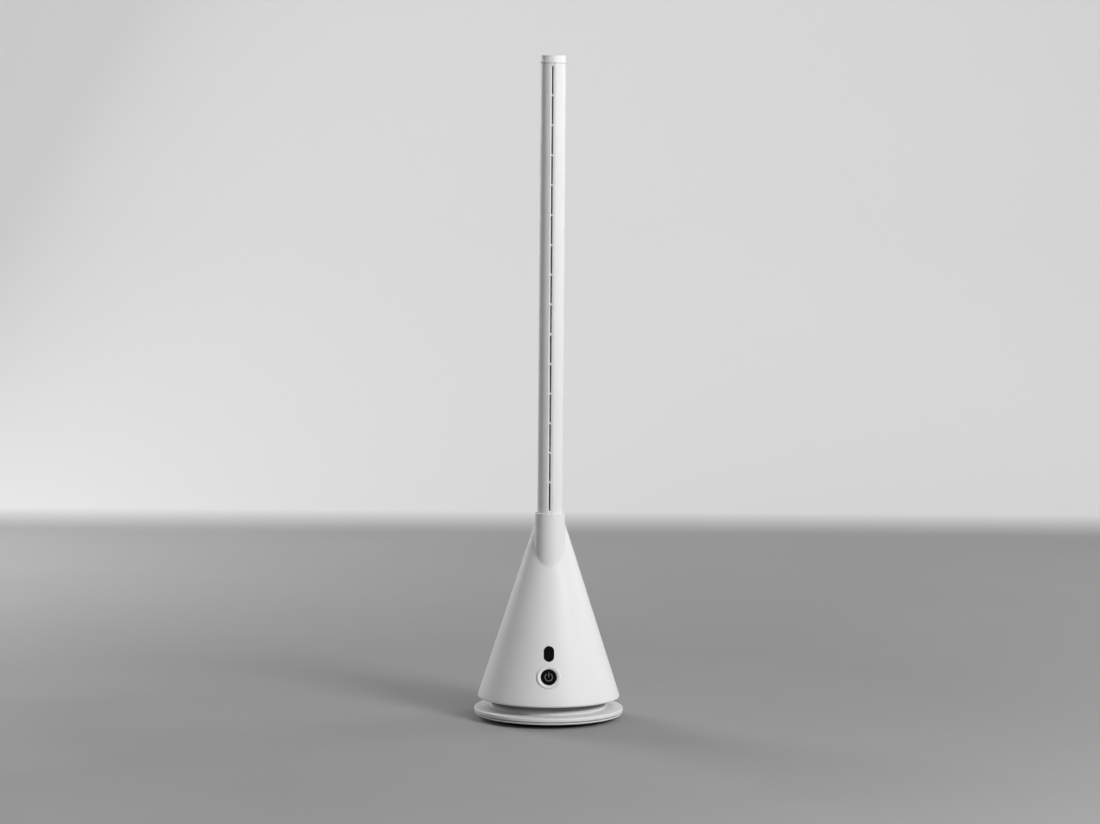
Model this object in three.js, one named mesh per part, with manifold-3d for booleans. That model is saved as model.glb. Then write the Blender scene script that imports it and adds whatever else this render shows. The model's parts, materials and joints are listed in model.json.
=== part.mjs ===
// Bladeless tower fan: a conical fan housing that swings on a flat round base and
// blows air out of a row of slots in a slim standing tube.
// Millimetres, +Z up, origin on the floor under the middle of the base, front towards -Y.
import * as THREE from 'three';
import { mergeVertices } from 'three/addons/utils/BufferGeometryUtils.js';
import Module from 'manifold-3d';

const wasm = await Module();
wasm.setup();

// ---------------------------------------------------------------- driving dimensions
const OVERALL_HEIGHT = 1020;
const BASE_DIAMETER = 230;

// Clearances
const SEAT_GAP = 0.3; // between pieces that seat in or on each other
const RUN_GAP = 0.8; // between pieces that move past each other
const CUT_OVERSHOOT = 2; // how far a cutter runs past the face it opens

// Base, from the floor up
const FOOT_HEIGHT = 2.4;
const FOOT_WIDTH = 12;
const FOOT_INSET = 1; // foot ring edge inside the plinth edge
const PLINTH_RADIUS = 92;
const PLINTH_HEIGHT = 5;
const TRAY_INSET = 1; // tray edge inside the top disc edge
const TRAY_HEIGHT = 3.4;
const TRAY_FLOOR = 2;
const TRAY_RIM_WIDTH = 3;
const SEAM_HEIGHT = 0.8; // shadow gap between tray and top disc
const DISC_HEIGHT = 5.8;
const DISC_SKIN = 2.2;
const DISC_EDGE_RADIUS = 2.4;
const DISC_SKIRT_WIDTH = 2.6;
const DISC_RIB_WIDTH = 2.4;
const BALLAST_HEIGHT = 5;
const BALLAST_BORE = 30;
const NECK_INSET = 22; // neck inside the housing rim
const NECK_WALL = 2.6;
const NECK_FLANGE_WIDTH = 9;
const NECK_FLANGE_HEIGHT = 2;
const NECK_HEIGHT = 15.6; // open gap between top disc and housing rim

// Pivot and swing drive
const SPINDLE_RADIUS = 8;
const SPINDLE_BORE = 5.5;
const SPINDLE_FLANGE_RADIUS = 13;
const SPINDLE_FLANGE_HEIGHT = 3;
const SPINDLE_THREAD_END = 0.8; // spindle standing out above its nut
const HUB_RADIUS = 16;
const HUB_HEIGHT = 12.6;
const THRUST_RING_RADIUS = 21;
const THRUST_RING_HEIGHT = 2.4;
const GEAR_MODULE = 1.25;
const SUN_TEETH = 40;
const PINION_TEETH = 16;
const PRESSURE_ANGLE = 20; // degrees
const GEAR_BACKLASH = 0.3; // thinning of each tooth at the pitch circle
const GEAR_CENTRE_EXTRA = 0.15; // centre distance beyond the sum of the pitch radii
const SUN_HEIGHT = 7;
const PINION_HEIGHT = 6;
const PINION_NECK_RADIUS = 5.5;
const PINION_SHAFT_RADIUS = 3;
const PINION_SHAFT_ENTRY = 6.5; // shaft length inside the motor
const SWING_MOTOR_RADIUS = 17.5;
const SWING_MOTOR_HEIGHT = 16.4;
const SWING_MOTOR_OFFSET = 8; // motor can axis beyond its output shaft
const SWING_MOTOR_EAR = 6;
const SWING_MOTOR_PLATE = 1.6;

// Turning floor
const FLOOR_RECESS = 3; // floor underside above the housing rim
const FLOOR_HEIGHT = 2.6;
const FLOOR_HUB_HEIGHT = 13.3;
const FLOOR_HUB_RADIUS = 21;
const NUT_HEIGHT = 6;
const NUT_RADIUS = 13;

// Conical housing and its tube collar
const CONE_RADIUS = 110.5; // at the rim
const CONE_HALF_ANGLE = 17.93; // degrees
const HOUSING_HEIGHT = 286;
const HOUSING_WALL = 3;
const RIM_FILLET = 2.4;
const CROWN_CHAMFER = 1.2;
const TUBE_OFFSET = 19; // tube axis in front of the cone axis
const COLLAR_TOP_RADIUS = 22.75;
const COLLAR_DRAFT = 1.22; // degrees
const COLLAR_LENGTH = 94;
const COLLAR_CHAMFER = 0.5;
const SOCKET_DEPTH = 34;
const SOCKET_WALL = 2.6;
const LEDGE_HEIGHT = 2.6;
const LEDGE_WIDTH = 2;
const POST_RADIUS = 5;
const POST_HEIGHT = 26;
const POST_ANGLES = [20, 160, 200, 340]; // degrees from +X

// Air tube
const TUBE_RADIUS = 19.3;
const TUBE_WALL = 2;
const TUBE_TURN = -3; // degrees, the slot row is turned a little to -X
const GASKET_HEIGHT = 2;
const CAP_HEIGHT = 9;
const CAP_RADIUS = 19;
const CAP_EDGE_RADIUS = 1.2;
const CAP_RIM_HEIGHT = 4;
const CAP_RIM_RADIUS = 20.2;
const CAP_PLUG_DEPTH = 12;
const CAP_PLUG_WALL = 2;

// Slotted strip let into the tube front
const SLOT_COUNT = 15;
const SLOT_WIDTH = 2;
const TAB_LENGTH = 2.8;
const STRIP_WIDTH = 8.3;
const STRIP_DEPTH = 2.6; // depth of the bevels that lead to the slots
const STRIP_EDGE = 0.5; // flat left beside each bevel
const STRIP_FLANGE_WIDTH = 13;
const STRIP_FLANGE_HEIGHT = 1.4;
const STRIP_LOWER_TAIL = 10; // strip hidden inside the collar
const SLOT_TOP_MARGIN = 2.3;
const SLOT_BOTTOM_MARGIN = 4.7;

// Front panel, heights are of each centre above the floor
const DISPLAY_HEIGHT_ABOVE_FLOOR = 112;
const DISPLAY_WIDTH = 15.5;
const DISPLAY_LENGTH = 24;
const DISPLAY_THICKNESS = 1.8;
const DISPLAY_MODULE_DEPTH = 5;
const BUTTON_BELOW_DISPLAY = 34;
const BUTTON_RADIUS = 12.2;
const BUTTON_THICKNESS = 3;
const BUTTON_SINK = 0.3; // button face behind the bezel datum
const BUTTON_TRAVEL = 1.2;
const BUTTON_STEM_RADIUS = 4;
const BUTTON_STEM_LENGTH = 5;
const BEZEL_CREST_RADIUS = 16.4;
const BEZEL_CREST_HEIGHT = 0.7;
const BEZEL_SHOULDER_HEIGHT = 0.4;
const BEZEL_RADIUS = 18.5;
const BEZEL_DEPTH = 7;
const BEZEL_SLEEVE_WALL = 1.8;
const SWITCH_SIZE = 7;
const SWITCH_HEIGHT = 4;
const PLUNGER_RADIUS = 2;
const PLUNGER_HEIGHT = 1;
const BOARD_WIDTH = 40;
const BOARD_LENGTH = 80;
const BOARD_THICKNESS = 1.6;
const BOARD_POST_RADIUS = 3;
const BOARD_POST_INSET = 4;

// Fan unit, levels counted from the turning floor
const FAN_LIFT = 33; // inlet lip above the turning floor
const INLET_LIP_HEIGHT = 6;
const FAN_CONE_SPACE = 62.5; // from the fan duct's inside out to the housing rim
const FAN_PASSAGE = 13; // between motor pod and fan duct
const INLET_LIP_INSET = 9; // inlet lip inside the fan duct
const INLET_THROAT_INSET = 17;
const SHROUD_HEIGHT = 40;
const FAN_WALL = 2;
const FAN_FLANGE_WIDTH = 13;
const FAN_FLANGE_HEIGHT = 2.6;
const LEG_RADIUS = 3.6;
const LEG_COUNT = 3;
const IMPELLER_EYE_RADIUS = 9;
const IMPELLER_HEIGHT = 29;
const IMPELLER_FLARE = 1.3; // how late the hub widens
const IMPELLER_SHELL = 2;
const IMPELLER_SKIN = 3.2; // hub skin measured along the radius
const BLADE_COUNT = 7;
const BLADE_THICKNESS = 1.7;
const BLADE_ROOT_DEPTH = 4.5; // blade let into the hub at the eye
const BLADE_WRAP = 62; // degrees that a blade runs round the hub
const BLADE_CURVE = 0.4; // how much more a blade turns at its foot than at its head
const BLADE_EDGE_SHARE = 0.45; // edge thickness over full thickness
const DIFFUSER_HEIGHT = 48;
const POD_HEIGHT = 44;
const POD_SHELL = 2;
const VANE_COUNT = 9;
const VANE_THICKNESS = 1.8;
const VANE_WRAP = 24; // degrees
const VANE_HEIGHT = 24;
const MOTOR_POD_SPACE = 15; // from the motor out to the pod
const MOTOR_HEIGHT = 32;
const MOTOR_BOSS_WALL = 4.2;
const SHAFT_RADIUS = 2.5;
const SHAFT_ENTRY = 12; // shaft length inside the motor
const IMPELLER_NUT_RADIUS = 5.5;
const IMPELLER_NUT_HEIGHT = 4;
const DUCT_WALL = 2;
const DUCT_EASE = 1.4; // how early the duct narrows

// Rear intake
const GRILLE_BASE_HEIGHT = 66; // lower edge above the floor
const GRILLE_TOP_HEIGHT = 190;
const GRILLE_BASE_INSET = 25.8; // lower corners in from the cone's side
const GRILLE_TOP_INSET = 18.7; // upper corners in from the cone's side
const GRILLE_CORNER = 9;
const GRILLE_THICKNESS = 2.2;
const GRILLE_BORDER = 6;
const GRILLE_ROWS = 2;
const GRILLE_BAND = 5; // solid band between two rows of slots
const GRILLE_SLOTS = 19;
const GRILLE_OPEN_SHARE = 0.52; // slot width over slot pitch
const FILTER_THICKNESS = 3;

// Power inlet, low on the back
const INLET_HEIGHT_ABOVE_FLOOR = 52;
const INLET_RADIUS = 7;
const INLET_DEPTH = 12;
const INLET_FLANGE_RADIUS = 8.6;
const INLET_FLANGE_HEIGHT = 1;
const INLET_HOLE_RADIUS = 3.4;
const INLET_HOLE_DEPTH = 9;
const INLET_PIN_RADIUS = 1.05;

// Driver board on the floor
const DRIVER_WIDTH = 36;
const DRIVER_LENGTH = 50;
const DRIVER_WALL_SPACE = 21.5; // between the board's edge and the cone
const DRIVER_Y = -22;
const CAPACITOR_RADIUS = 6;
const CAPACITOR_HEIGHT = 12;
const COIL_WIDTH = 12;
const COIL_HEIGHT = 9;
const COMPONENT_OFFSET = 7.2; // capacitor and coil to each side of the board's middle
const SOCKET_WIDTH = 18;
const SOCKET_LENGTH = 6;
const SOCKET_HEIGHT = 6;
const SOCKET_OFFSET = 16.5; // socket block in front of the board's middle
const STANDOFF_RADIUS = 3;
const STANDOFF_HEIGHT = 4;

// Screws
const SCREW_RADIUS = 1.9;
const SCREW_HEAD_RADIUS = 3.8;
const SCREW_HEAD_HEIGHT = 2;
const SCREW_LENGTH = 9;
const BASE_SCREW_CIRCLE = 60;
const BASE_SCREW_COUNT = 4;
const BOSS_RADIUS = 5;

// Facets
const LARGE_SIDES = 40;
const TUBE_SIDES = 28;
const MEDIUM_SIDES = 20;
const SMALL_SIDES = 8;
const ARC_STEPS = 3;
const CURVE_STEPS = 3; // along shroud, hub and pod outlines
const CHORD_STEPS = 4; // along a blade
const SPAN_STEPS = 2; // from a blade's root to its tip
const DUCT_STEPS = 6;
const FLANK_STEPS = 1; // along a gear tooth's flank
const MERGE_TOLERANCE = 1e-4;

// ---------------------------------------------------------------- derived levels and radii
const rad = THREE.MathUtils.degToRad;
const CONE_TAN = Math.tan(rad(CONE_HALF_ANGLE));
const CONE_COS = Math.cos(rad(CONE_HALF_ANGLE));
const COLLAR_TAN = Math.tan(rad(COLLAR_DRAFT));

const discRadius = BASE_DIAMETER / 2;
const plinthTop = FOOT_HEIGHT + PLINTH_HEIGHT;
const trayTop = plinthTop + TRAY_HEIGHT;
const trayFloorTop = plinthTop + TRAY_FLOOR;
const discBottom = trayTop + SEAM_HEIGHT;
const discTop = discBottom + DISC_HEIGHT;
const discUnderside = discTop - DISC_SKIN;
const trayRadius = discRadius - TRAY_INSET;
const ribOuterRadius = trayRadius - TRAY_RIM_WIDTH - SEAT_GAP;
const coneBottom = discTop + NECK_HEIGHT;
const floorBottom = coneBottom + FLOOR_RECESS;
const floorTop = floorBottom + FLOOR_HEIGHT;
const neckTop = floorBottom - RUN_GAP;
const hubTop = discTop + HUB_HEIGHT;
const thrustTop = hubTop + THRUST_RING_HEIGHT;
const floorHubBottom = thrustTop + SEAT_GAP;
const floorHubTop = floorHubBottom + FLOOR_HUB_HEIGHT;
const nutBottom = floorHubTop + SEAT_GAP;
const nutTop = nutBottom + NUT_HEIGHT;
const gearDistance = (GEAR_MODULE * (SUN_TEETH + PINION_TEETH)) / 2 + GEAR_CENTRE_EXTRA;
const collarTop = coneBottom + HOUSING_HEIGHT;
const socketBottom = collarTop - SOCKET_DEPTH;
const ledgeBottom = socketBottom - LEDGE_HEIGHT;
const socketRadius = TUBE_RADIUS + SEAT_GAP;
const tubeBottom = socketBottom + GASKET_HEIGHT;
const tubeTop = OVERALL_HEIGHT - CAP_HEIGHT - CAP_RIM_HEIGHT;
const tubeBore = TUBE_RADIUS - TUBE_WALL;
const fanInlet = floorTop + FAN_LIFT;
const shroudTop = fanInlet + SHROUD_HEIGHT;
const impellerBottom = fanInlet + INLET_LIP_HEIGHT;
const impellerTop = impellerBottom + IMPELLER_HEIGHT;
const diffuserTop = shroudTop + DIFFUSER_HEIGHT;
const podBottom = shroudTop + RUN_GAP;
const podTop = podBottom + POD_HEIGHT;
const motorBottom = podBottom + SEAT_GAP;
const motorTop = motorBottom + MOTOR_HEIGHT;
const radialWall = HOUSING_WALL / CONE_COS;

const neckRadius = CONE_RADIUS - NECK_INSET;
const fanOuterRadius = CONE_RADIUS - FAN_CONE_SPACE;
const fanFlangeRadius = fanOuterRadius + FAN_FLANGE_WIDTH;
const podRadius = fanOuterRadius - FAN_PASSAGE;
const inletLipRadius = fanOuterRadius - INLET_LIP_INSET;
const inletThroatRadius = fanOuterRadius - INLET_THROAT_INSET;
const motorRadius = podRadius - MOTOR_POD_SPACE;
const buttonHeight = DISPLAY_HEIGHT_ABOVE_FLOOR - BUTTON_BELOW_DISPLAY;

/** Outer radius of the cone at a height. */
const coneRadiusAt = (z) => CONE_RADIUS - (z - coneBottom) * CONE_TAN;
/** Radius of the cone's inside at a height. */
const coneInsideAt = (z) => coneRadiusAt(z) - radialWall;
/** Outer radius of the collar at a height. */
const collarRadiusAt = (z) => COLLAR_TOP_RADIUS + (collarTop - z) * COLLAR_TAN;

// The screw posts' axes meet the cone's inside at their tops.
const postCircle = coneInsideAt(floorTop + POST_HEIGHT);
const grilleBaseHalf = coneRadiusAt(GRILLE_BASE_HEIGHT) - GRILLE_BASE_INSET;
const grilleTopHalf = coneRadiusAt(GRILLE_TOP_HEIGHT) - GRILLE_TOP_INSET;
const driverX = coneInsideAt(floorTop) - DRIVER_WALL_SPACE - DRIVER_WIDTH / 2;

// ---------------------------------------------------------------- finishes
const finish = (color, roughness, metalness = 0) =>
  new THREE.MeshStandardMaterial({ color, roughness, metalness });

const FINISHES = {
  white: finish(0xeeeeec, 0.45),
  innerWhite: finish(0xd8d8d4, 0.6),
  black: finish(0x17181a, 0.6),
  rubber: finish(0x101010, 0.9),
  gloss: finish(0x050506, 0.08),
  steel: finish(0xa9acb0, 0.35, 1),
  gear: finish(0xe6e2d6, 0.5),
  grey: finish(0x54575b, 0.55),
  foam: finish(0x2b2d30, 1),
  board: finish(0x1f5a3a, 0.5),
};

// ---------------------------------------------------------------- geometry helpers
/** Turn a closed geometry into a solid that can be joined and cut. */
function toSolid(geometry) {
  geometry.deleteAttribute('normal');
  geometry.deleteAttribute('uv');
  const merged = mergeVertices(geometry, MERGE_TOLERANCE);
  const corners = Array.from(merged.index.array);
  const kept = [];
  for (let i = 0; i < corners.length; i += 3) {
    const [a, b, c] = corners.slice(i, i + 3);
    if (a !== b && b !== c && c !== a) kept.push(a, b, c);
  }
  return new wasm.Manifold(
    new wasm.Mesh({
      numProp: 3,
      vertProperties: Float32Array.from(merged.attributes.position.array),
      triVerts: Uint32Array.from(kept),
    }),
  );
}

/** Name a solid and give it a finish. */
function toMesh(name, material, solid) {
  const { vertProperties, triVerts } = solid.getMesh();
  const geometry = new THREE.BufferGeometry();
  geometry.setAttribute('position', new THREE.BufferAttribute(Float32Array.from(vertProperties), 3));
  geometry.setIndex(new THREE.BufferAttribute(Uint32Array.from(triVerts), 1));
  geometry.computeVertexNormals();
  const mesh = new THREE.Mesh(geometry, material);
  mesh.name = name;
  return mesh;
}

/** Join several solids. */
const join = (...solids) => solids.reduce((whole, solid) => whole.add(solid));

/** Cut several solids out of one. */
const cut = (solid, ...tools) => tools.reduce((rest, tool) => rest.subtract(tool), solid);

/** Revolve an anticlockwise outline of [radius, height] points about the Z axis. */
function revolve(outline, sides) {
  const points = outline.map(([r, z]) => new THREE.Vector2(r, z));
  if (outline[0][0] > 0) points.push(points[0].clone());
  return toSolid(new THREE.LatheGeometry(points, sides).rotateX(Math.PI / 2));
}

/** Round bar along Z between two heights. */
function rod(radius, low, high, sides = SMALL_SIDES, x = 0, y = 0) {
  const bar = new THREE.CylinderGeometry(radius, radius, high - low, sides);
  return toSolid(bar.rotateX(Math.PI / 2).translate(x, y, (low + high) / 2));
}

/** Ring along Z between two heights. */
function ring(outer, inner, low, high, sides) {
  return revolve([[inner, low], [outer, low], [outer, high], [inner, high]], sides);
}

/** Box given by its size and the middle of its underside. */
function block(width, depth, height, x, y, low) {
  return toSolid(new THREE.BoxGeometry(width, depth, height).translate(x, y, low + height / 2));
}

/** Extrude a shape drawn in the XY plane between two heights. */
function prism(shape, low, high, curveSegments = SMALL_SIDES / 2) {
  const options = { depth: high - low, bevelEnabled: false, curveSegments };
  return toSolid(new THREE.ExtrudeGeometry(shape, options).translate(0, 0, low));
}

/** Extrude a shape drawn as seen from the back (X across, Z up) towards +Y. */
function rearPrism(shape, near, far) {
  const options = { depth: far - near, bevelEnabled: false, curveSegments: ARC_STEPS };
  return toSolid(new THREE.ExtrudeGeometry(shape, options).rotateX(Math.PI / 2).translate(0, far, 0));
}

/**
 * Skin a row of rings and close both ends. Every ring has the same even number of points,
 * and an end is closed in strips from point to opposite point, so a bent end stays bent.
 */
function loft(rings) {
  const count = rings[0].length;
  const last = (rings.length - 1) * count;
  const index = [];
  for (let i = 0; i < rings.length - 1; i += 1) {
    for (let j = 0; j < count; j += 1) {
      const a = i * count + j;
      const b = i * count + ((j + 1) % count);
      index.push(a, b, b + count, a, b + count, a + count);
    }
  }
  for (let j = 0; j < count / 2 - 1; j += 1) {
    const far = count - 2 - j;
    index.push(j, far, j + 1, j, far + 1, far);
    index.push(last + j, last + j + 1, last + far, last + j, last + far, last + far + 1);
  }
  const geometry = new THREE.BufferGeometry().setFromPoints(rings.flat());
  geometry.setIndex(index);
  return toSolid(geometry);
}

/** Points [radius, height] on a quarter round from one direction to another, in degrees. */
function arcPoints(centreR, centreZ, radius, from, to) {
  return Array.from({ length: ARC_STEPS + 1 }, (_, i) => {
    const angle = rad(from + ((to - from) * i) / ARC_STEPS);
    return [centreR + radius * Math.cos(angle), centreZ + radius * Math.sin(angle)];
  });
}

/** Places evenly spaced on a circle, as [x, y] pairs. */
function circlePlaces(radius, count, start = 0) {
  return Array.from({ length: count }, (_, i) => {
    const angle = rad(start) + (2 * Math.PI * i) / count;
    return [radius * Math.cos(angle), radius * Math.sin(angle)];
  });
}

/** Polygon with its corners rounded. */
function roundedPolygon(corners, radius) {
  const shape = new THREE.Shape();
  corners.forEach((corner, i) => {
    const before = corners.at(i - 1);
    const after = corners[(i + 1) % corners.length];
    const into = corner.clone().lerp(before, radius / corner.distanceTo(before));
    const out = corner.clone().lerp(after, radius / corner.distanceTo(after));
    if (i === 0) shape.moveTo(into.x, into.y);
    else shape.lineTo(into.x, into.y);
    shape.quadraticCurveTo(corner.x, corner.y, out.x, out.y);
  });
  shape.closePath();
  return shape;
}

/** Upright slot shape with round ends. */
function pillShape(width, length) {
  const r = width / 2;
  const reach = length / 2 - r;
  const shape = new THREE.Shape();
  shape.absarc(0, reach, r, 0, Math.PI, false);
  shape.absarc(0, -reach, r, Math.PI, 2 * Math.PI, false);
  shape.closePath();
  return shape;
}

/** Put a solid built on the Z axis onto the cone, its Z along the outward normal at a height. */
function onCone(solid, height, side) {
  const lean = rad(CONE_HALF_ANGLE);
  const outward = new THREE.Vector3(0, side * Math.cos(lean), Math.sin(lean));
  const across = new THREE.Vector3(-side, 0, 0);
  const upSlope = outward.clone().cross(across);
  const place = new THREE.Matrix4().makeBasis(across, upSlope, outward);
  place.setPosition(0, side * coneRadiusAt(height), height);
  return solid.transform(place.elements);
}
const onFront = (solid, height) => onCone(solid, height, -1);
const onBack = (solid, height) => onCone(solid, height, 1);

/** Solid of the whole cone inside a skin of the given thickness under its surface. */
function coneSolid(skin, low, high) {
  const inset = skin / CONE_COS;
  return revolve(
    [[0, low], [coneRadiusAt(low) - inset, low], [coneRadiusAt(high) - inset, high], [0, high]],
    LARGE_SIDES,
  );
}

/** Screw with its head underneath, pointing up from a head seat. */
function screwSolid(x, y, seat) {
  return join(
    rod(SCREW_HEAD_RADIUS, seat - SCREW_HEAD_HEIGHT, seat, SMALL_SIDES, x, y),
    rod(SCREW_RADIUS, seat - SCREW_HEAD_HEIGHT / 2, seat + SCREW_LENGTH, SMALL_SIDES, x, y),
  );
}

/** Clearance hole for a screw. */
const screwHole = (x, y, low, high) => rod(SCREW_RADIUS + SEAT_GAP, low, high, SMALL_SIDES, x, y);

// ---------------------------------------------------------------- base
const baseScrewPlaces = circlePlaces(BASE_SCREW_CIRCLE, BASE_SCREW_COUNT, 45);
const baseScrewSeat = plinthTop - PLINTH_HEIGHT / 2;

function footRing() {
  const outer = PLINTH_RADIUS - FOOT_INSET;
  return ring(outer, outer - FOOT_WIDTH, 0, FOOT_HEIGHT, LARGE_SIDES);
}

function basePlinth() {
  const plate = rod(PLINTH_RADIUS, FOOT_HEIGHT, plinthTop, LARGE_SIDES);
  const holes = baseScrewPlaces.flatMap(([x, y]) => [
    rod(SCREW_HEAD_RADIUS + SEAT_GAP, FOOT_HEIGHT - CUT_OVERSHOOT, baseScrewSeat, SMALL_SIDES, x, y),
    screwHole(x, y, FOOT_HEIGHT, plinthTop + CUT_OVERSHOOT),
  ]);
  return cut(plate, ...holes);
}

function baseTray() {
  const rimInner = trayRadius - TRAY_RIM_WIDTH;
  const tray = revolve(
    [
      [0, plinthTop],
      [trayRadius - TRAY_FLOOR / 2, plinthTop],
      [trayRadius, plinthTop + TRAY_FLOOR / 2],
      [trayRadius, trayTop],
      [rimInner, trayTop],
      [rimInner, trayFloorTop],
      [0, trayFloorTop],
    ],
    LARGE_SIDES,
  );
  const holes = baseScrewPlaces.map(([x, y]) =>
    screwHole(x, y, plinthTop - CUT_OVERSHOOT, trayFloorTop + CUT_OVERSHOOT),
  );
  return cut(tray, ...holes);
}

function ballastPlate() {
  const outer = ribOuterRadius - DISC_RIB_WIDTH - SEAT_GAP;
  const plate = ring(outer, BALLAST_BORE, trayFloorTop, trayFloorTop + BALLAST_HEIGHT, LARGE_SIDES);
  const holes = baseScrewPlaces.map(([x, y]) =>
    rod(BOSS_RADIUS + SEAT_GAP, trayFloorTop - CUT_OVERSHOOT, discTop, SMALL_SIDES, x, y),
  );
  return cut(plate, ...holes);
}

function baseTopDisc() {
  const skirtInner = discRadius - DISC_SKIRT_WIDTH;
  const ribInner = ribOuterRadius - DISC_RIB_WIDTH;
  const ribBottom = trayFloorTop + SEAT_GAP;
  const edge = arcPoints(
    discRadius - DISC_EDGE_RADIUS,
    discTop - DISC_EDGE_RADIUS,
    DISC_EDGE_RADIUS,
    0,
    90,
  );
  const disc = revolve(
    [
      [0, discUnderside],
      [ribInner, discUnderside],
      [ribInner, ribBottom],
      [ribOuterRadius, ribBottom],
      [ribOuterRadius, discUnderside],
      [skirtInner, discUnderside],
      [skirtInner, discBottom],
      [discRadius, discBottom],
      ...edge,
      [0, discTop],
    ],
    LARGE_SIDES,
  );
  const hub = rod(HUB_RADIUS, discUnderside, hubTop, MEDIUM_SIDES);
  const bosses = baseScrewPlaces.map(([x, y]) =>
    rod(BOSS_RADIUS, ribBottom, discUnderside + DISC_SKIN / 2, SMALL_SIDES, x, y),
  );
  const holes = baseScrewPlaces.map(([x, y]) =>
    screwHole(x, y, ribBottom - CUT_OVERSHOOT, baseScrewSeat + SCREW_LENGTH + SEAT_GAP),
  );
  const bore = rod(SPINDLE_RADIUS + SEAT_GAP, discUnderside - CUT_OVERSHOOT, collarTop, MEDIUM_SIDES);
  return cut(join(disc, hub, ...bosses), bore, ...holes);
}

function baseNeck() {
  const wallInner = neckRadius - NECK_WALL;
  const flangeInner = neckRadius - NECK_FLANGE_WIDTH;
  const flangeTop = discTop + NECK_FLANGE_HEIGHT;
  return revolve(
    [
      [flangeInner, discTop],
      [neckRadius, discTop],
      [neckRadius, neckTop],
      [wallInner, neckTop],
      [wallInner, flangeTop],
      [flangeInner, flangeTop],
    ],
    LARGE_SIDES,
  );
}

function pivotSpindle() {
  const flangeTop = trayFloorTop + SPINDLE_FLANGE_HEIGHT;
  return revolve(
    [
      [SPINDLE_BORE, trayFloorTop],
      [SPINDLE_FLANGE_RADIUS, trayFloorTop],
      [SPINDLE_FLANGE_RADIUS, flangeTop],
      [SPINDLE_RADIUS, flangeTop],
      [SPINDLE_RADIUS, nutTop + SPINDLE_THREAD_END],
      [SPINDLE_BORE, nutTop + SPINDLE_THREAD_END],
    ],
    MEDIUM_SIDES,
  );
}

const thrustRing = () =>
  ring(THRUST_RING_RADIUS, SPINDLE_RADIUS + SEAT_GAP, hubTop, thrustTop, MEDIUM_SIDES);

function spindleNut() {
  const hexagon = rod(NUT_RADIUS, nutBottom, nutTop, 6);
  return cut(hexagon, rod(SPINDLE_RADIUS + SEAT_GAP, floorBottom, collarTop, MEDIUM_SIDES));
}

// ---------------------------------------------------------------- gears
/** Involute gear outline with one tooth centred on the +X direction, turned by a start angle. */
function gearShape(teeth, start) {
  const pitchR = (GEAR_MODULE * teeth) / 2;
  const baseR = pitchR * Math.cos(rad(PRESSURE_ANGLE));
  const tipR = pitchR + GEAR_MODULE;
  const rootR = pitchR - 1.25 * GEAR_MODULE;
  const involute = (r) => {
    const roll = Math.sqrt(Math.max((r / baseR) ** 2 - 1, 0));
    return roll - Math.atan(roll);
  };
  const halfTooth = Math.PI / (2 * teeth) - GEAR_BACKLASH / (2 * pitchR);
  const flankStart = Math.max(baseR, rootR);
  const flankRadii = Array.from({ length: FLANK_STEPS + 1 }, (_, i) =>
    THREE.MathUtils.lerp(flankStart, tipR, i / FLANK_STEPS),
  );
  const outline = [];
  for (let tooth = 0; tooth < teeth; tooth += 1) {
    const middle = start + (2 * Math.PI * tooth) / teeth;
    const flank = flankRadii.map((r) => [r, halfTooth + involute(pitchR) - involute(r)]);
    const rising = [[rootR, flank[0][1]], ...flank];
    const falling = [...rising].reverse();
    rising.forEach(([r, a]) => outline.push([r, middle - a]));
    falling.forEach(([r, a]) => outline.push([r, middle + a]));
  }
  return new THREE.Shape(
    outline.map(([r, angle]) => new THREE.Vector2(r * Math.cos(angle), r * Math.sin(angle))),
  );
}

function sunGear() {
  const gear = prism(gearShape(SUN_TEETH, Math.PI / 2), discTop, discTop + SUN_HEIGHT);
  return cut(gear, rod(HUB_RADIUS + SEAT_GAP, discUnderside, hubTop, MEDIUM_SIDES));
}

const pinionBottom = discTop + RUN_GAP;

function swingPinion() {
  const halfPitch = Math.PI / PINION_TEETH;
  const gearTop = pinionBottom + PINION_HEIGHT;
  const neckEnd = floorTop - SEAT_GAP;
  const gear = prism(gearShape(PINION_TEETH, -Math.PI / 2 + halfPitch), pinionBottom, gearTop);
  return join(
    gear.translate(0, gearDistance, 0),
    rod(PINION_NECK_RADIUS, gearTop - RUN_GAP, neckEnd, MEDIUM_SIDES, 0, gearDistance),
    rod(PINION_SHAFT_RADIUS, neckEnd - RUN_GAP, floorTop + PINION_SHAFT_ENTRY, SMALL_SIDES, 0, gearDistance),
  );
}

function swingMotor() {
  const canY = gearDistance + SWING_MOTOR_OFFSET;
  const can = rod(SWING_MOTOR_RADIUS, floorTop, floorTop + SWING_MOTOR_HEIGHT, MEDIUM_SIDES, 0, canY);
  const reach = SWING_MOTOR_RADIUS + SWING_MOTOR_EAR;
  const ears = pillShape(2 * SWING_MOTOR_EAR, 2 * reach);
  const plate = prism(ears, floorTop, floorTop + SWING_MOTOR_PLATE).rotate([0, 0, 90]);
  const holes = [-1, 1].map((side) =>
    screwHole(side * (reach - SWING_MOTOR_EAR), canY, floorBottom, floorTop + 2 * SWING_MOTOR_PLATE),
  );
  const shaftTop = floorTop + PINION_SHAFT_ENTRY + SEAT_GAP;
  const shaftHole = rod(
    PINION_SHAFT_RADIUS + SEAT_GAP,
    floorBottom,
    shaftTop,
    SMALL_SIDES,
    0,
    gearDistance,
  );
  return join(cut(plate.translate(0, canY, 0), ...holes), can).subtract(shaftHole);
}

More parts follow.
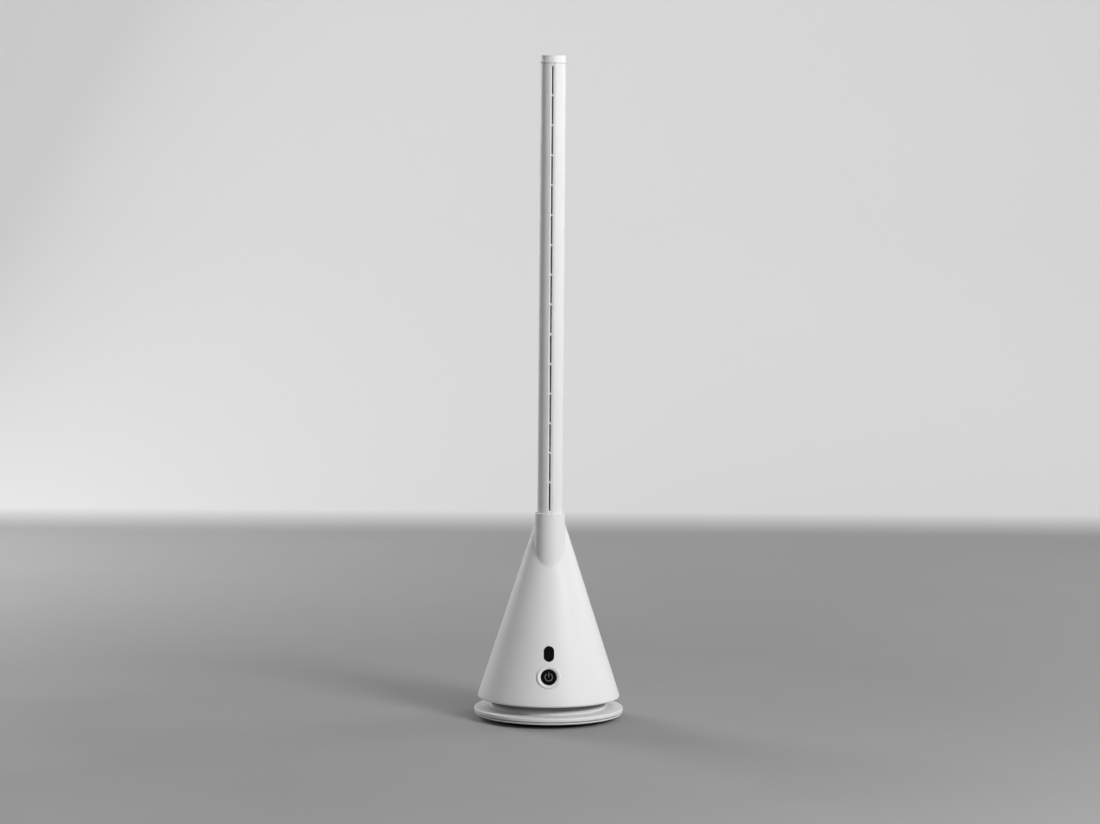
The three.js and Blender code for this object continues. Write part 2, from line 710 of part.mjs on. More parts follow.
// ---------------------------------------------------------------- turning floor
const postPlaces = POST_ANGLES.map((angle) => [
  postCircle * Math.cos(rad(angle)),
  postCircle * Math.sin(rad(angle)),
]);
const standoffPlaces = [-1, 1].flatMap((sideX) =>
  [-1, 1].map((sideY) => [
    driverX + sideX * (DRIVER_WIDTH / 2 - STANDOFF_RADIUS),
    DRIVER_Y + sideY * (DRIVER_LENGTH / 2 - STANDOFF_RADIUS),
  ]),
);

function towerFloor() {
  const plate = revolve(
    [
      [0, floorBottom],
      [coneInsideAt(floorBottom) - SEAT_GAP, floorBottom],
      [coneInsideAt(floorTop) - SEAT_GAP, floorTop],
      [0, floorTop],
    ],
    LARGE_SIDES,
  );
  const hub = rod(FLOOR_HUB_RADIUS, floorHubBottom, floorHubTop, MEDIUM_SIDES);
  const standoffs = standoffPlaces.map(([x, y]) =>
    rod(STANDOFF_RADIUS, floorBottom, floorTop + STANDOFF_HEIGHT, SMALL_SIDES, x, y),
  );
  const bore = rod(SPINDLE_RADIUS + SEAT_GAP, discTop, collarTop, MEDIUM_SIDES);
  const pinionHole = rod(
    PINION_NECK_RADIUS + SEAT_GAP,
    discTop,
    floorTop + CUT_OVERSHOOT,
    MEDIUM_SIDES,
    0,
    gearDistance,
  );
  const holes = postPlaces.map(([x, y]) => screwHole(x, y, discTop, floorTop + CUT_OVERSHOOT));
  return cut(join(plate, hub, ...standoffs), bore, pinionHole, ...holes);
}

function driverBoard() {
  const low = floorTop + STANDOFF_HEIGHT;
  const top = low + BOARD_THICKNESS;
  const capacitorX = driverX - COMPONENT_OFFSET;
  const coilX = driverX + COMPONENT_OFFSET;
  const socketY = DRIVER_Y - SOCKET_OFFSET;
  return join(
    block(DRIVER_WIDTH, DRIVER_LENGTH, BOARD_THICKNESS, driverX, DRIVER_Y, low),
    rod(CAPACITOR_RADIUS, low, top + CAPACITOR_HEIGHT, SMALL_SIDES, capacitorX, DRIVER_Y),
    block(COIL_WIDTH, COIL_WIDTH, COIL_HEIGHT, coilX, DRIVER_Y, low),
    block(SOCKET_WIDTH, SOCKET_LENGTH, SOCKET_HEIGHT, driverX, socketY, low),
  );
}

// ---------------------------------------------------------------- front panel
const panelHeight = (DISPLAY_HEIGHT_ABOVE_FLOOR + buttonHeight) / 2;
const buttonBack = BUTTON_SINK + BUTTON_THICKNESS;
const stemEnd = buttonBack + BUTTON_STEM_LENGTH;
const switchFace = stemEnd + BUTTON_TRAVEL + SEAT_GAP + PLUNGER_HEIGHT;
const switchBack = switchFace + SWITCH_HEIGHT;
const boardFace = switchBack + SEAT_GAP;
const boardPostPlaces = [-1, 1].flatMap((sideX) =>
  [-1, 1].map((sideY) => [
    sideX * (BOARD_WIDTH / 2 - BOARD_POST_INSET),
    sideY * (BOARD_LENGTH / 2 - BOARD_POST_INSET),
  ]),
);

function displayWindow() {
  const lens = prism(pillShape(DISPLAY_WIDTH, DISPLAY_LENGTH), -HOUSING_WALL, HOUSING_WALL);
  const shell = cut(
    coneSolid(0, coneBottom, collarTop),
    coneSolid(DISPLAY_THICKNESS, coneBottom - CUT_OVERSHOOT, collarTop + CUT_OVERSHOOT),
  );
  return onFront(lens, DISPLAY_HEIGHT_ABOVE_FLOOR).intersect(shell);
}

function displayModule() {
  const sag = (DISPLAY_WIDTH / 2) ** 2 / (2 * coneRadiusAt(DISPLAY_HEIGHT_ABOVE_FLOOR));
  const face = DISPLAY_THICKNESS + sag + SEAT_GAP;
  const shape = pillShape(DISPLAY_WIDTH - 2 * SEAT_GAP, DISPLAY_LENGTH - 2 * SEAT_GAP);
  return onFront(prism(shape, -face - DISPLAY_MODULE_DEPTH, -face), DISPLAY_HEIGHT_ABOVE_FLOOR);
}

function buttonBezel() {
  const inner = BUTTON_RADIUS + SEAT_GAP;
  const outer = inner + BEZEL_SLEEVE_WALL;
  const bezel = revolve(
    [
      [inner, -BEZEL_DEPTH],
      [outer, -BEZEL_DEPTH],
      [outer, -HOUSING_WALL],
      [BEZEL_RADIUS, -HOUSING_WALL],
      [BEZEL_RADIUS, -BUTTON_SINK],
      [(BEZEL_RADIUS + BEZEL_CREST_RADIUS) / 2, BEZEL_SHOULDER_HEIGHT],
      [BEZEL_CREST_RADIUS, BEZEL_CREST_HEIGHT],
      [(BEZEL_CREST_RADIUS + inner) / 2, BEZEL_SHOULDER_HEIGHT],
      [inner, -BUTTON_SINK],
    ],
    MEDIUM_SIDES,
  );
  return onFront(bezel, buttonHeight);
}

function powerButton() {
  const disc = rod(BUTTON_RADIUS, -buttonBack, -BUTTON_SINK, MEDIUM_SIDES);
  const stem = rod(BUTTON_STEM_RADIUS, -stemEnd, -buttonBack + BUTTON_SINK);
  return onFront(join(disc, stem), buttonHeight);
}

function buttonSwitch() {
  const body = block(SWITCH_SIZE, SWITCH_SIZE, SWITCH_HEIGHT, 0, 0, -switchBack);
  const plunger = rod(PLUNGER_RADIUS, -switchBack, -switchFace + PLUNGER_HEIGHT);
  return onFront(join(body, plunger), buttonHeight);
}

function controlBoard() {
  const low = -boardFace - BOARD_THICKNESS;
  const board = block(BOARD_WIDTH, BOARD_LENGTH, BOARD_THICKNESS, 0, 0, low);
  const chip = block(BOARD_WIDTH / 3, BOARD_WIDTH / 3, BOARD_THICKNESS, 0, 0, low - BOARD_THICKNESS / 2);
  return onFront(join(board, chip), panelHeight);
}

// ---------------------------------------------------------------- conical housing
/** Outline of the rear grille opening, seen from the back, grown by a margin. */
function grilleShape(grow) {
  const baseHalf = grilleBaseHalf + grow;
  const topHalf = grilleTopHalf + grow;
  const low = GRILLE_BASE_HEIGHT - grow;
  const high = GRILLE_TOP_HEIGHT + grow;
  const corners = [[-baseHalf, low], [baseHalf, low], [topHalf, high], [-topHalf, high]];
  return roundedPolygon(
    corners.map(([x, z]) => new THREE.Vector2(x, z)),
    GRILLE_CORNER + grow,
  );
}

const grilleReach = CONE_RADIUS + CUT_OVERSHOOT;

function coneBody(bottom, rimFillet) {
  const slope = 90 - CONE_HALF_ANGLE;
  const lift = rimFillet * (1 + Math.sin(rad(CONE_HALF_ANGLE)));
  const centreZ = bottom + rimFillet;
  const centreR = coneRadiusAt(centreZ) - rimFillet / CONE_COS;
  const rim = arcPoints(centreR, centreZ, rimFillet, -90, 90 - slope);
  const shoulder = coneRadiusAt(collarTop);
  return revolve(
    [
      [0, bottom],
      ...rim,
      [coneRadiusAt(bottom + lift), bottom + lift],
      [shoulder + CROWN_CHAMFER * CONE_TAN, collarTop - CROWN_CHAMFER],
      [shoulder - CROWN_CHAMFER, collarTop],
      [0, collarTop],
    ],
    LARGE_SIDES,
  );
}

function collarBody() {
  const low = collarTop - COLLAR_LENGTH;
  return revolve(
    [
      [0, low],
      [collarRadiusAt(low), low],
      [collarRadiusAt(collarTop - COLLAR_CHAMFER), collarTop - COLLAR_CHAMFER],
      [COLLAR_TOP_RADIUS - COLLAR_CHAMFER, collarTop],
      [0, collarTop],
    ],
    TUBE_SIDES,
  ).translate(0, -TUBE_OFFSET, 0);
}

function housingCavity() {
  const low = coneBottom - CUT_OVERSHOOT;
  const high = collarTop - HOUSING_WALL;
  const inside = revolve(
    [[0, low], [coneInsideAt(low), low], [coneInsideAt(high), high], [0, high]],
    LARGE_SIDES,
  );
  const collarLow = collarTop - COLLAR_LENGTH + HOUSING_WALL;
  const collarInside = revolve(
    [
      [0, collarLow],
      [collarRadiusAt(collarLow) - HOUSING_WALL, collarLow],
      [collarRadiusAt(ledgeBottom) - HOUSING_WALL, ledgeBottom],
      [0, ledgeBottom],
    ],
    TUBE_SIDES,
  ).translate(0, -TUBE_OFFSET, 0);
  return join(inside, collarInside);
}

function coneHousing() {
  const outside = join(coneBody(coneBottom, RIM_FILLET), collarBody());
  const posts = postPlaces.map(([x, y]) =>
    rod(POST_RADIUS, floorTop, floorTop + POST_HEIGHT, SMALL_SIDES, x, y),
  );
  const boardPosts = boardPostPlaces.map(([x, y]) =>
    onFront(rod(BOARD_POST_RADIUS, -boardFace, 0, SMALL_SIDES, x, y), panelHeight),
  );
  const socket = rod(socketRadius + SOCKET_WALL, ledgeBottom, collarTop, TUBE_SIDES, 0, -TUBE_OFFSET);
  const shell = outside.subtract(housingCavity());
  const inner = join(socket, ...posts, ...boardPosts).intersect(outside);
  const throat = socketRadius - SEAT_GAP - LEDGE_WIDTH;
  const openings = [
    rod(socketRadius, socketBottom, collarTop + CUT_OVERSHOOT, TUBE_SIDES, 0, -TUBE_OFFSET),
    rod(throat, ledgeBottom - CUT_OVERSHOOT, socketBottom + CUT_OVERSHOOT, TUBE_SIDES, 0, -TUBE_OFFSET),
    ...postPlaces.map(([x, y]) =>
      screwHole(x, y, floorBottom, floorBottom + SCREW_LENGTH + SEAT_GAP),
    ),
    onFront(
      prism(
        pillShape(DISPLAY_WIDTH + 2 * SEAT_GAP, DISPLAY_LENGTH + 2 * SEAT_GAP),
        -2 * HOUSING_WALL,
        HOUSING_WALL,
      ),
      DISPLAY_HEIGHT_ABOVE_FLOOR,
    ),
    onFront(
      rod(BEZEL_RADIUS + SEAT_GAP, -2 * HOUSING_WALL, 2 * HOUSING_WALL, MEDIUM_SIDES),
      buttonHeight,
    ),
    onBack(
      rod(INLET_RADIUS + SEAT_GAP, -2 * HOUSING_WALL, 2 * HOUSING_WALL),
      INLET_HEIGHT_ABOVE_FLOOR,
    ),
    rearPrism(grilleShape(SEAT_GAP), 0, grilleReach),
  ];
  return cut(join(shell, inner), ...openings);
}

// ---------------------------------------------------------------- rear intake
/** Half width of the slotted field of the grille at a height. */
function grilleFieldHalf(z) {
  const share = (z - GRILLE_BASE_HEIGHT) / (GRILLE_TOP_HEIGHT - GRILLE_BASE_HEIGHT);
  return THREE.MathUtils.lerp(grilleBaseHalf, grilleTopHalf, share) - GRILLE_BORDER;
}

/** One row of slots that lean in with the cone, as shapes seen from the back. */
function grilleRow(low, high) {
  return Array.from({ length: GRILLE_SLOTS }, (_, i) => {
    const place = (2 * i + 1) / GRILLE_SLOTS - 1;
    const half = GRILLE_OPEN_SHARE / GRILLE_SLOTS;
    const lowHalf = grilleFieldHalf(low);
    const highHalf = grilleFieldHalf(high);
    return new THREE.Shape([
      new THREE.Vector2((place - half) * lowHalf, low),
      new THREE.Vector2((place + half) * lowHalf, low),
      new THREE.Vector2((place + half) * highHalf, high),
      new THREE.Vector2((place - half) * highHalf, high),
    ]);
  });
}

function grilleSkin(outerSkin, innerSkin) {
  const low = GRILLE_BASE_HEIGHT - CUT_OVERSHOOT;
  const high = GRILLE_TOP_HEIGHT + CUT_OVERSHOOT;
  const layer = cut(
    coneSolid(outerSkin, low, high),
    coneSolid(innerSkin, low - CUT_OVERSHOOT, high + CUT_OVERSHOOT),
  );
  return layer.intersect(rearPrism(grilleShape(0), 0, grilleReach));
}

function intakeGrille() {
  const field = GRILLE_TOP_HEIGHT - GRILLE_BASE_HEIGHT - 2 * GRILLE_BORDER;
  const rowHeight = (field - (GRILLE_ROWS - 1) * GRILLE_BAND) / GRILLE_ROWS;
  const slots = Array.from({ length: GRILLE_ROWS }, (_, row) => {
    const low = GRILLE_BASE_HEIGHT + GRILLE_BORDER + row * (rowHeight + GRILLE_BAND);
    return grilleRow(low, low + rowHeight);
  });
  const cutters = slots.flat().map((shape) => rearPrism(shape, 0, grilleReach));
  return cut(grilleSkin(0, GRILLE_THICKNESS), ...cutters);
}

const dustFilter = () =>
  grilleSkin(GRILLE_THICKNESS + SEAT_GAP, GRILLE_THICKNESS + SEAT_GAP + FILTER_THICKNESS);

function powerInlet() {
  const body = join(
    rod(INLET_RADIUS, -INLET_DEPTH, INLET_FLANGE_HEIGHT / 2),
    rod(
      INLET_FLANGE_RADIUS,
      SEAT_GAP,
      SEAT_GAP + INLET_FLANGE_HEIGHT,
    ),
  );
  const hole = rod(INLET_HOLE_RADIUS, -INLET_HOLE_DEPTH, INLET_DEPTH);
  const pin = rod(INLET_PIN_RADIUS, -INLET_HOLE_DEPTH - SEAT_GAP, -SEAT_GAP);
  return onBack(join(body.subtract(hole), pin), INLET_HEIGHT_ABOVE_FLOOR);
}

// ---------------------------------------------------------------- fan unit
/** Inside of the fan shroud from throat to outlet, as [radius, height] points going up. */
function shroudCurve(inset) {
  const throat = fanInlet + INLET_LIP_HEIGHT;
  return Array.from({ length: CURVE_STEPS + 2 }, (_, i) => {
    const share = i / (CURVE_STEPS + 1);
    const ease = share * share * (3 - 2 * share);
    const radius = THREE.MathUtils.lerp(inletThroatRadius, fanOuterRadius, ease);
    return [radius - inset, throat + share * (shroudTop - throat)];
  });
}

/** Rounded inlet lip from its outer edge to the throat, as [radius, height] points. */
function inletLip() {
  return Array.from({ length: ARC_STEPS + 1 }, (_, i) => {
    const angle = (Math.PI / 2) * (i / ARC_STEPS);
    return [
      inletLipRadius - (inletLipRadius - inletThroatRadius) * Math.sin(angle),
      fanInlet + INLET_LIP_HEIGHT * (1 - Math.cos(angle)),
    ];
  });
}

/** Outside of the impeller hub, as [radius, height] points going up. */
function hubCurve(inset) {
  return Array.from({ length: CURVE_STEPS + 1 }, (_, i) => {
    const share = i / CURVE_STEPS;
    const flare = share ** IMPELLER_FLARE;
    const radius = THREE.MathUtils.lerp(IMPELLER_EYE_RADIUS, podRadius, flare);
    return [radius - inset, impellerBottom + share * IMPELLER_HEIGHT];
  });
}

/**
 * Curved blade that stands out from a hub and leans round it while it climbs.
 * wrap is how far it runs round the axis, in degrees.
 */
function bladeSolid(innerR, outerR, low, high, wrap, thickness) {
  const section = (radius) => {
    const side = (sign) =>
      Array.from({ length: CHORD_STEPS + 1 }, (_, i) => {
        const share = i / CHORD_STEPS;
        const camber = share * (1 + BLADE_CURVE - BLADE_CURVE * share);
        const swell = Math.sin(Math.PI * share);
        const fullness = THREE.MathUtils.lerp(BLADE_EDGE_SHARE, 1, swell);
        const half = (sign * thickness * fullness) / 2;
        const angle = rad(wrap) * camber + half / radius;
        const height = low + share * (high - low);
        return new THREE.Vector3(radius * Math.cos(angle), radius * Math.sin(angle), height);
      });
    return [...side(-1), ...side(1).reverse()].reverse();
  };
  const radii = Array.from({ length: SPAN_STEPS + 1 }, (_, i) =>
    THREE.MathUtils.lerp(innerR, outerR, i / SPAN_STEPS),
  );
  return loft(radii.map(section));
}

/** Copies of a solid turned evenly about the Z axis. */
function around(solid, count) {
  return Array.from({ length: count }, (_, i) => solid.rotate([0, 0, (360 * i) / count]));
}

function fanShroud() {
  const skin = revolve(
    [
      [inletLipRadius, fanInlet + FAN_WALL],
      ...shroudCurve(-FAN_WALL),
      ...shroudCurve(0).reverse().slice(0, -1),
      ...inletLip().reverse(),
    ],
    MEDIUM_SIDES,
  );
  const flangeLow = shroudTop - FAN_FLANGE_HEIGHT;
  const flange = ring(fanFlangeRadius, fanOuterRadius + FAN_WALL / 2, flangeLow, shroudTop, MEDIUM_SIDES);
  const legCircle = fanFlangeRadius - LEG_RADIUS - SEAT_GAP;
  const legs = circlePlaces(legCircle, LEG_COUNT, -90).map(([x, y]) =>
    rod(LEG_RADIUS, floorTop, shroudTop, SMALL_SIDES, x, y),
  );
  return join(skin, flange, ...legs);
}

function impeller() {
  const outside = hubCurve(0);
  const inside = hubCurve(IMPELLER_SKIN).slice(1).map(([r, z]) => [r, z + IMPELLER_SHELL]);
  inside[inside.length - 1][1] = impellerTop;
  const boreR = SHAFT_RADIUS + SEAT_GAP;
  const boss = boreR + IMPELLER_SHELL;
  const hub = revolve(
    [[boreR, impellerBottom], ...outside, ...inside.reverse(), [boss, inside.at(-1)[1]],
      [boss, impellerTop], [boreR, impellerTop]],
    MEDIUM_SIDES,
  );
  const blade = bladeSolid(
    IMPELLER_EYE_RADIUS - BLADE_ROOT_DEPTH,
    fanOuterRadius,
    impellerBottom + IMPELLER_SHELL,
    impellerTop - SEAT_GAP,
    BLADE_WRAP,
    BLADE_THICKNESS,
  );
  const hubCore = hubCurve(IMPELLER_SHELL / 2);
  const passage = revolve([...shroudCurve(RUN_GAP), ...hubCore.reverse()], MEDIUM_SIDES);
  return join(hub, ...around(blade.intersect(passage), BLADE_COUNT));
}

function impellerNut() {
  const hexagon = rod(IMPELLER_NUT_RADIUS, impellerBottom - IMPELLER_NUT_HEIGHT, impellerBottom, 6);
  return cut(hexagon, rod(SHAFT_RADIUS + SEAT_GAP, floorTop, collarTop));
}

const motorShaft = () =>
  rod(SHAFT_RADIUS, impellerBottom - IMPELLER_NUT_HEIGHT - SEAT_GAP, motorBottom + SHAFT_ENTRY);

function motorCan() {
  const can = rod(motorRadius, motorBottom, motorTop, MEDIUM_SIDES);
  const boss = rod(SHAFT_RADIUS + MOTOR_BOSS_WALL, motorTop, motorTop + POD_SHELL, SMALL_SIDES);
  const bore = rod(SHAFT_RADIUS + SEAT_GAP, floorTop, motorBottom + SHAFT_ENTRY + SEAT_GAP);
  return join(can, boss).subtract(bore);
}

function diffuser() {
  const wall = ring(fanOuterRadius + FAN_WALL, fanOuterRadius, shroudTop, diffuserTop, MEDIUM_SIDES);
  const flangeTop = shroudTop + FAN_FLANGE_HEIGHT;
  const flange = ring(fanFlangeRadius, fanOuterRadius + FAN_WALL / 2, shroudTop, flangeTop, MEDIUM_SIDES);
  const straight = podBottom + VANE_HEIGHT;
  const tail = (inset, top) =>
    Array.from({ length: CURVE_STEPS + 1 }, (_, i) => {
      const angle = (Math.PI / 2) * (i / CURVE_STEPS);
      return [(podRadius - inset) * Math.cos(angle), straight + (top - straight) * Math.sin(angle)];
    });
  const podSkin = revolve([[0, podBottom], [podRadius, podBottom], ...tail(0, podTop)], MEDIUM_SIDES);
  const hollow = revolve(
    [[0, podBottom + POD_SHELL], [podRadius - POD_SHELL, podBottom + POD_SHELL],
      ...tail(POD_SHELL, podTop - POD_SHELL)],
    MEDIUM_SIDES,
  );
  const cupInner = motorRadius + SEAT_GAP;
  const cup = ring(cupInner + POD_SHELL, cupInner, podBottom, motorTop, MEDIUM_SIDES);
  const mouth = rod(cupInner, podBottom - CUT_OVERSHOOT, podBottom + 2 * POD_SHELL, MEDIUM_SIDES);
  const pod = join(cut(podSkin, hollow, mouth), cup);
  const vane = bladeSolid(
    podRadius - POD_SHELL / 2,
    fanOuterRadius + FAN_WALL / 2,
    podBottom + SEAT_GAP,
    podBottom + VANE_HEIGHT,
    -VANE_WRAP,
    VANE_THICKNESS,
  );
  return join(wall, flange, pod, ...around(vane, VANE_COUNT));
}

/** Circle of points for the duct at a share of its climb. */
function ductRing(share, outward, stretch) {
  const narrowing = (1 - share) ** DUCT_EASE;
  const topR = TUBE_RADIUS - SEAT_GAP;
  const radius = THREE.MathUtils.lerp(topR, fanOuterRadius + DUCT_WALL, narrowing) + outward;
  const z = THREE.MathUtils.lerp(diffuserTop, ledgeBottom - SEAT_GAP, share) + stretch;
  return circlePlaces(radius, MEDIUM_SIDES).map(
    ([x, y]) => new THREE.Vector3(x, y - TUBE_OFFSET * share, z),
  );
}

function ductAdapter() {
  const shares = Array.from({ length: DUCT_STEPS + 1 }, (_, i) => i / DUCT_STEPS);
  const outside = loft(shares.map((share) => ductRing(share, 0, 0)));
  const inside = loft([
    ductRing(0, -DUCT_WALL, -CUT_OVERSHOOT),
    ...shares.map((share) => ductRing(share, -DUCT_WALL, 0)),
    ductRing(1, -DUCT_WALL, CUT_OVERSHOOT),
  ]);
  return outside.subtract(inside);
}

// ---------------------------------------------------------------- air tube
/** Turn a piece built on the Z axis about the tube axis and set it in the collar. */
const onTube = (solid) => solid.rotate([0, 0, TUBE_TURN]).translate(0, -TUBE_OFFSET, 0);

const stripBottom = collarTop - STRIP_LOWER_TAIL;

function tubeShell() {
  const tube = ring(TUBE_RADIUS, tubeBore, tubeBottom, tubeTop, TUBE_SIDES);
  const channelWidth = STRIP_WIDTH + 2 * SEAT_GAP;
  const low = stripBottom - SEAT_GAP;
  const high = tubeTop + CUT_OVERSHOOT;
  const channel = block(channelWidth, TUBE_RADIUS, high - low, 0, -TUBE_RADIUS, low);
  return onTube(tube.subtract(channel));
}

/** Cutter for one slot with its four bevels, from the slot out past the tube surface. */
function slotCutter(centreZ, slotLength) {
  const floorY = -(TUBE_RADIUS - STRIP_DEPTH);
  const spread = (STRIP_WIDTH / 2 - STRIP_EDGE - SLOT_WIDTH / 2) / STRIP_DEPTH;
  const corners = (y, halfWidth, halfLength) =>
    [[-1, -1], [1, -1], [1, 1], [-1, 1]].map(
      ([sideX, sideZ]) => new THREE.Vector3(sideX * halfWidth, y, centreZ + sideZ * halfLength),
    );
  const rise = STRIP_DEPTH + CUT_OVERSHOOT;
  const grow = spread * rise;
  return loft([
    corners(-tubeBore / 2, SLOT_WIDTH / 2, slotLength / 2),
    corners(floorY, SLOT_WIDTH / 2, slotLength / 2),
    corners(floorY - rise, SLOT_WIDTH / 2 + grow, slotLength / 2 + grow),
  ]);
}

function nozzleStrip() {
  const height = tubeTop - stripBottom;
  const flangeOuter = tubeBore - SEAT_GAP;
  const flangeInner = flangeOuter - STRIP_FLANGE_HEIGHT;
  const front = ring(TUBE_RADIUS, flangeInner, stripBottom, tubeTop, TUBE_SIDES).intersect(
    block(STRIP_WIDTH, TUBE_RADIUS, height, 0, -TUBE_RADIUS, stripBottom),
  );
  const flange = ring(flangeOuter, flangeInner, stripBottom, tubeTop, TUBE_SIDES).intersect(
    block(STRIP_FLANGE_WIDTH, TUBE_RADIUS, height, 0, -TUBE_RADIUS, stripBottom),
  );
  const rowTop = tubeTop - SLOT_TOP_MARGIN;
  const pitch = (rowTop - collarTop - SLOT_BOTTOM_MARGIN) / SLOT_COUNT;
  const cutters = Array.from({ length: SLOT_COUNT }, (_, i) =>
    slotCutter(rowTop - (i + 0.5) * pitch, pitch - TAB_LENGTH),
  );
  return onTube(cut(join(front, flange), ...cutters));
}

function tubeGasket() {
  const top = tubeBottom;
  return ring(TUBE_RADIUS, TUBE_RADIUS - TUBE_WALL, socketBottom, top, TUBE_SIDES).translate(
    0,
    -TUBE_OFFSET,
    0,
  );
}

function tubeCap() {
  const rimTop = tubeTop + CAP_RIM_HEIGHT;
  const plugR = tubeBore - 2 * SEAT_GAP - STRIP_FLANGE_HEIGHT;
  const plugLow = tubeTop - CAP_PLUG_DEPTH;
  const edge = arcPoints(
    CAP_RADIUS - CAP_EDGE_RADIUS,
    OVERALL_HEIGHT - CAP_EDGE_RADIUS,
    CAP_EDGE_RADIUS,
    0,
    90,
  );
  const cap = revolve(
    [
      [plugR - CAP_PLUG_WALL, plugLow],
      [plugR, plugLow],
      [plugR, tubeTop],
      [TUBE_RADIUS, tubeTop],
      [CAP_RIM_RADIUS, rimTop],
      [CAP_RADIUS, rimTop],
      ...edge,
      [0, OVERALL_HEIGHT],
      [0, tubeTop],
      [plugR - CAP_PLUG_WALL, tubeTop],
    ],
    TUBE_SIDES,
  );
  return cap.translate(0, -TUBE_OFFSET, 0);
}

// ---------------------------------------------------------------- assembly
const base = new THREE.Group();
const tower = new THREE.Group();
const rotor = new THREE.Group();

base.add(
  toMesh('foot_ring', FINISHES.rubber, footRing()),
  toMesh('base_plinth', FINISHES.black, basePlinth()),
  toMesh('base_tray', FINISHES.white, baseTray()),
  toMesh('ballast_plate', FINISHES.steel, ballastPlate()),
  toMesh('base_top_disc', FINISHES.white, baseTopDisc()),
  toMesh('base_neck', FINISHES.white, baseNeck()),
  toMesh('pivot_spindle', FINISHES.steel, pivotSpindle()),
  toMesh('thrust_ring', FINISHES.gear, thrustRing()),
  toMesh('spindle_nut', FINISHES.steel, spindleNut()),
  toMesh('sun_gear', FINISHES.gear, sunGear()),
  ...baseScrewPlaces.map(([x, y], i) =>
    toMesh(`base_screw_${i + 1}`, FINISHES.steel, screwSolid(x, y, baseScrewSeat)),
  ),
);

tower.add(
  toMesh('tower_floor', FINISHES.innerWhite, towerFloor()),
  toMesh('cone_housing', FINISHES.white, coneHousing()),
  toMesh('intake_grille', FINISHES.white, intakeGrille()),
  toMesh('dust_filter', FINISHES.foam, dustFilter()),
  toMesh('power_inlet', FINISHES.black, powerInlet()),
  toMesh('swing_motor', FINISHES.steel, swingMotor()),
  toMesh('driver_board', FINISHES.board, driverBoard()),
  toMesh('display_window', FINISHES.gloss, displayWindow()),
  toMesh('display_module', FINISHES.black, displayModule()),
  toMesh('button_bezel', FINISHES.white, buttonBezel()),
  toMesh('button_switch', FINISHES.black, buttonSwitch()),
  toMesh('control_board', FINISHES.board, controlBoard()),
  toMesh('fan_shroud', FINISHES.innerWhite, fanShroud()),
  toMesh('diffuser', FINISHES.innerWhite, diffuser()),
  toMesh('motor_can', FINISHES.steel, motorCan()),
  toMesh('duct_adapter', FINISHES.innerWhite, ductAdapter()),
  toMesh('tube_gasket', FINISHES.rubber, tubeGasket()),
  toMesh('tube_shell', FINISHES.white, tubeShell()),
  toMesh('nozzle_strip', FINISHES.white, nozzleStrip()),
  toMesh('tube_cap', FINISHES.white, tubeCap()),
  ...postPlaces.map(([x, y], i) =>
    toMesh(`floor_screw_${i + 1}`, FINISHES.steel, screwSolid(x, y, floorBottom)),
  ),
);

rotor.add(
  toMesh('impeller', FINISHES.grey, impeller()),
  toMesh('motor_shaft', FINISHES.steel, motorShaft()),
  toMesh('impeller_nut', FINISHES.steel, impellerNut()),
);

const swingPinionMesh = toMesh('swing_pinion', FINISHES.gear, swingPinion());
const powerButtonMesh = toMesh('power_button', FINISHES.gloss, powerButton());

tower.add(rotor, swingPinionMesh, powerButtonMesh);

const fan = new THREE.Group();
fan.add(base, tower);

export default fan;
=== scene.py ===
"""Bladeless tower fan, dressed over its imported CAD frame.

Millimetres are used for every size below and turned into metres by MM where a
mesh is made. The front of the fan looks towards -Y, and +Z is up.
"""
import json
import logging
import math
from dataclasses import dataclass, field
from enum import Enum
from typing import Callable, Sequence

import bmesh
import bpy
import numpy as np
from mathutils import Matrix, Vector


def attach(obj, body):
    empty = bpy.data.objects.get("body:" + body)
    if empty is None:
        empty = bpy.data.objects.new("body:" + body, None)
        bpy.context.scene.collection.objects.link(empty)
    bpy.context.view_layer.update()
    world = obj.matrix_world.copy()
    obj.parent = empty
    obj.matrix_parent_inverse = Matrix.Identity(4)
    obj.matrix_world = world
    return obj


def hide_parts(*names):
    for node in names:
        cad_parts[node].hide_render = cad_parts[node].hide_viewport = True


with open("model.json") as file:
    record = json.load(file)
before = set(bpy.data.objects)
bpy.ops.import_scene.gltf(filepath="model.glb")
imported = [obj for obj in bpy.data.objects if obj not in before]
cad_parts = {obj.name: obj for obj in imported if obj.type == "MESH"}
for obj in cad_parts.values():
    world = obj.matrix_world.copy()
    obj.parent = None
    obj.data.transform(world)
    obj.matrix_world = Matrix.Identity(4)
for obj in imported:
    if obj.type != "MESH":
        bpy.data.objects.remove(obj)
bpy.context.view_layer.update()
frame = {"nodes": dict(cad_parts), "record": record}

MM = 0.001
FULL_TURN = 2 * math.pi
MERGE_DISTANCE = 0.001 * MM
FILLET_STEP = math.radians(15)
SMOOTH_ANGLE = 32.0
SENSOR_WIDTH = 36.0
PLASTIC_IOR = 1.5
LOG = logging.getLogger("fan")

Corner = tuple[float, float, float]
Flat = tuple[float, float]
Colour = tuple[float, float, float]


class Body(Enum):
    """CAD body that a piece moves with."""

    BASE = "base"
    TOWER = "tower"
    ROTOR = "rotor"
    PINION = "pinion"
    BUTTON = "button"


class Slot(Enum):
    """Material slot of the record that a piece takes its finish from."""

    WHITE = "white_plastic"
    INNER = "inner_plastic"
    GREY = "grey_plastic"
    BLACK = "black_plastic"
    GLOSS = "gloss_black"
    GEAR = "gear_plastic"
    RUBBER = "rubber"
    STEEL = "steel"
    FOAM = "filter_foam"
    BOARD = "circuit_board"


class Carving(Enum):
    """What a cutter does to a piece."""

    CUT = "DIFFERENCE"
    KEEP = "INTERSECT"


class Side(Enum):
    """Side of the cone, as the sign of its Y."""

    FRONT = -1
    BACK = 1


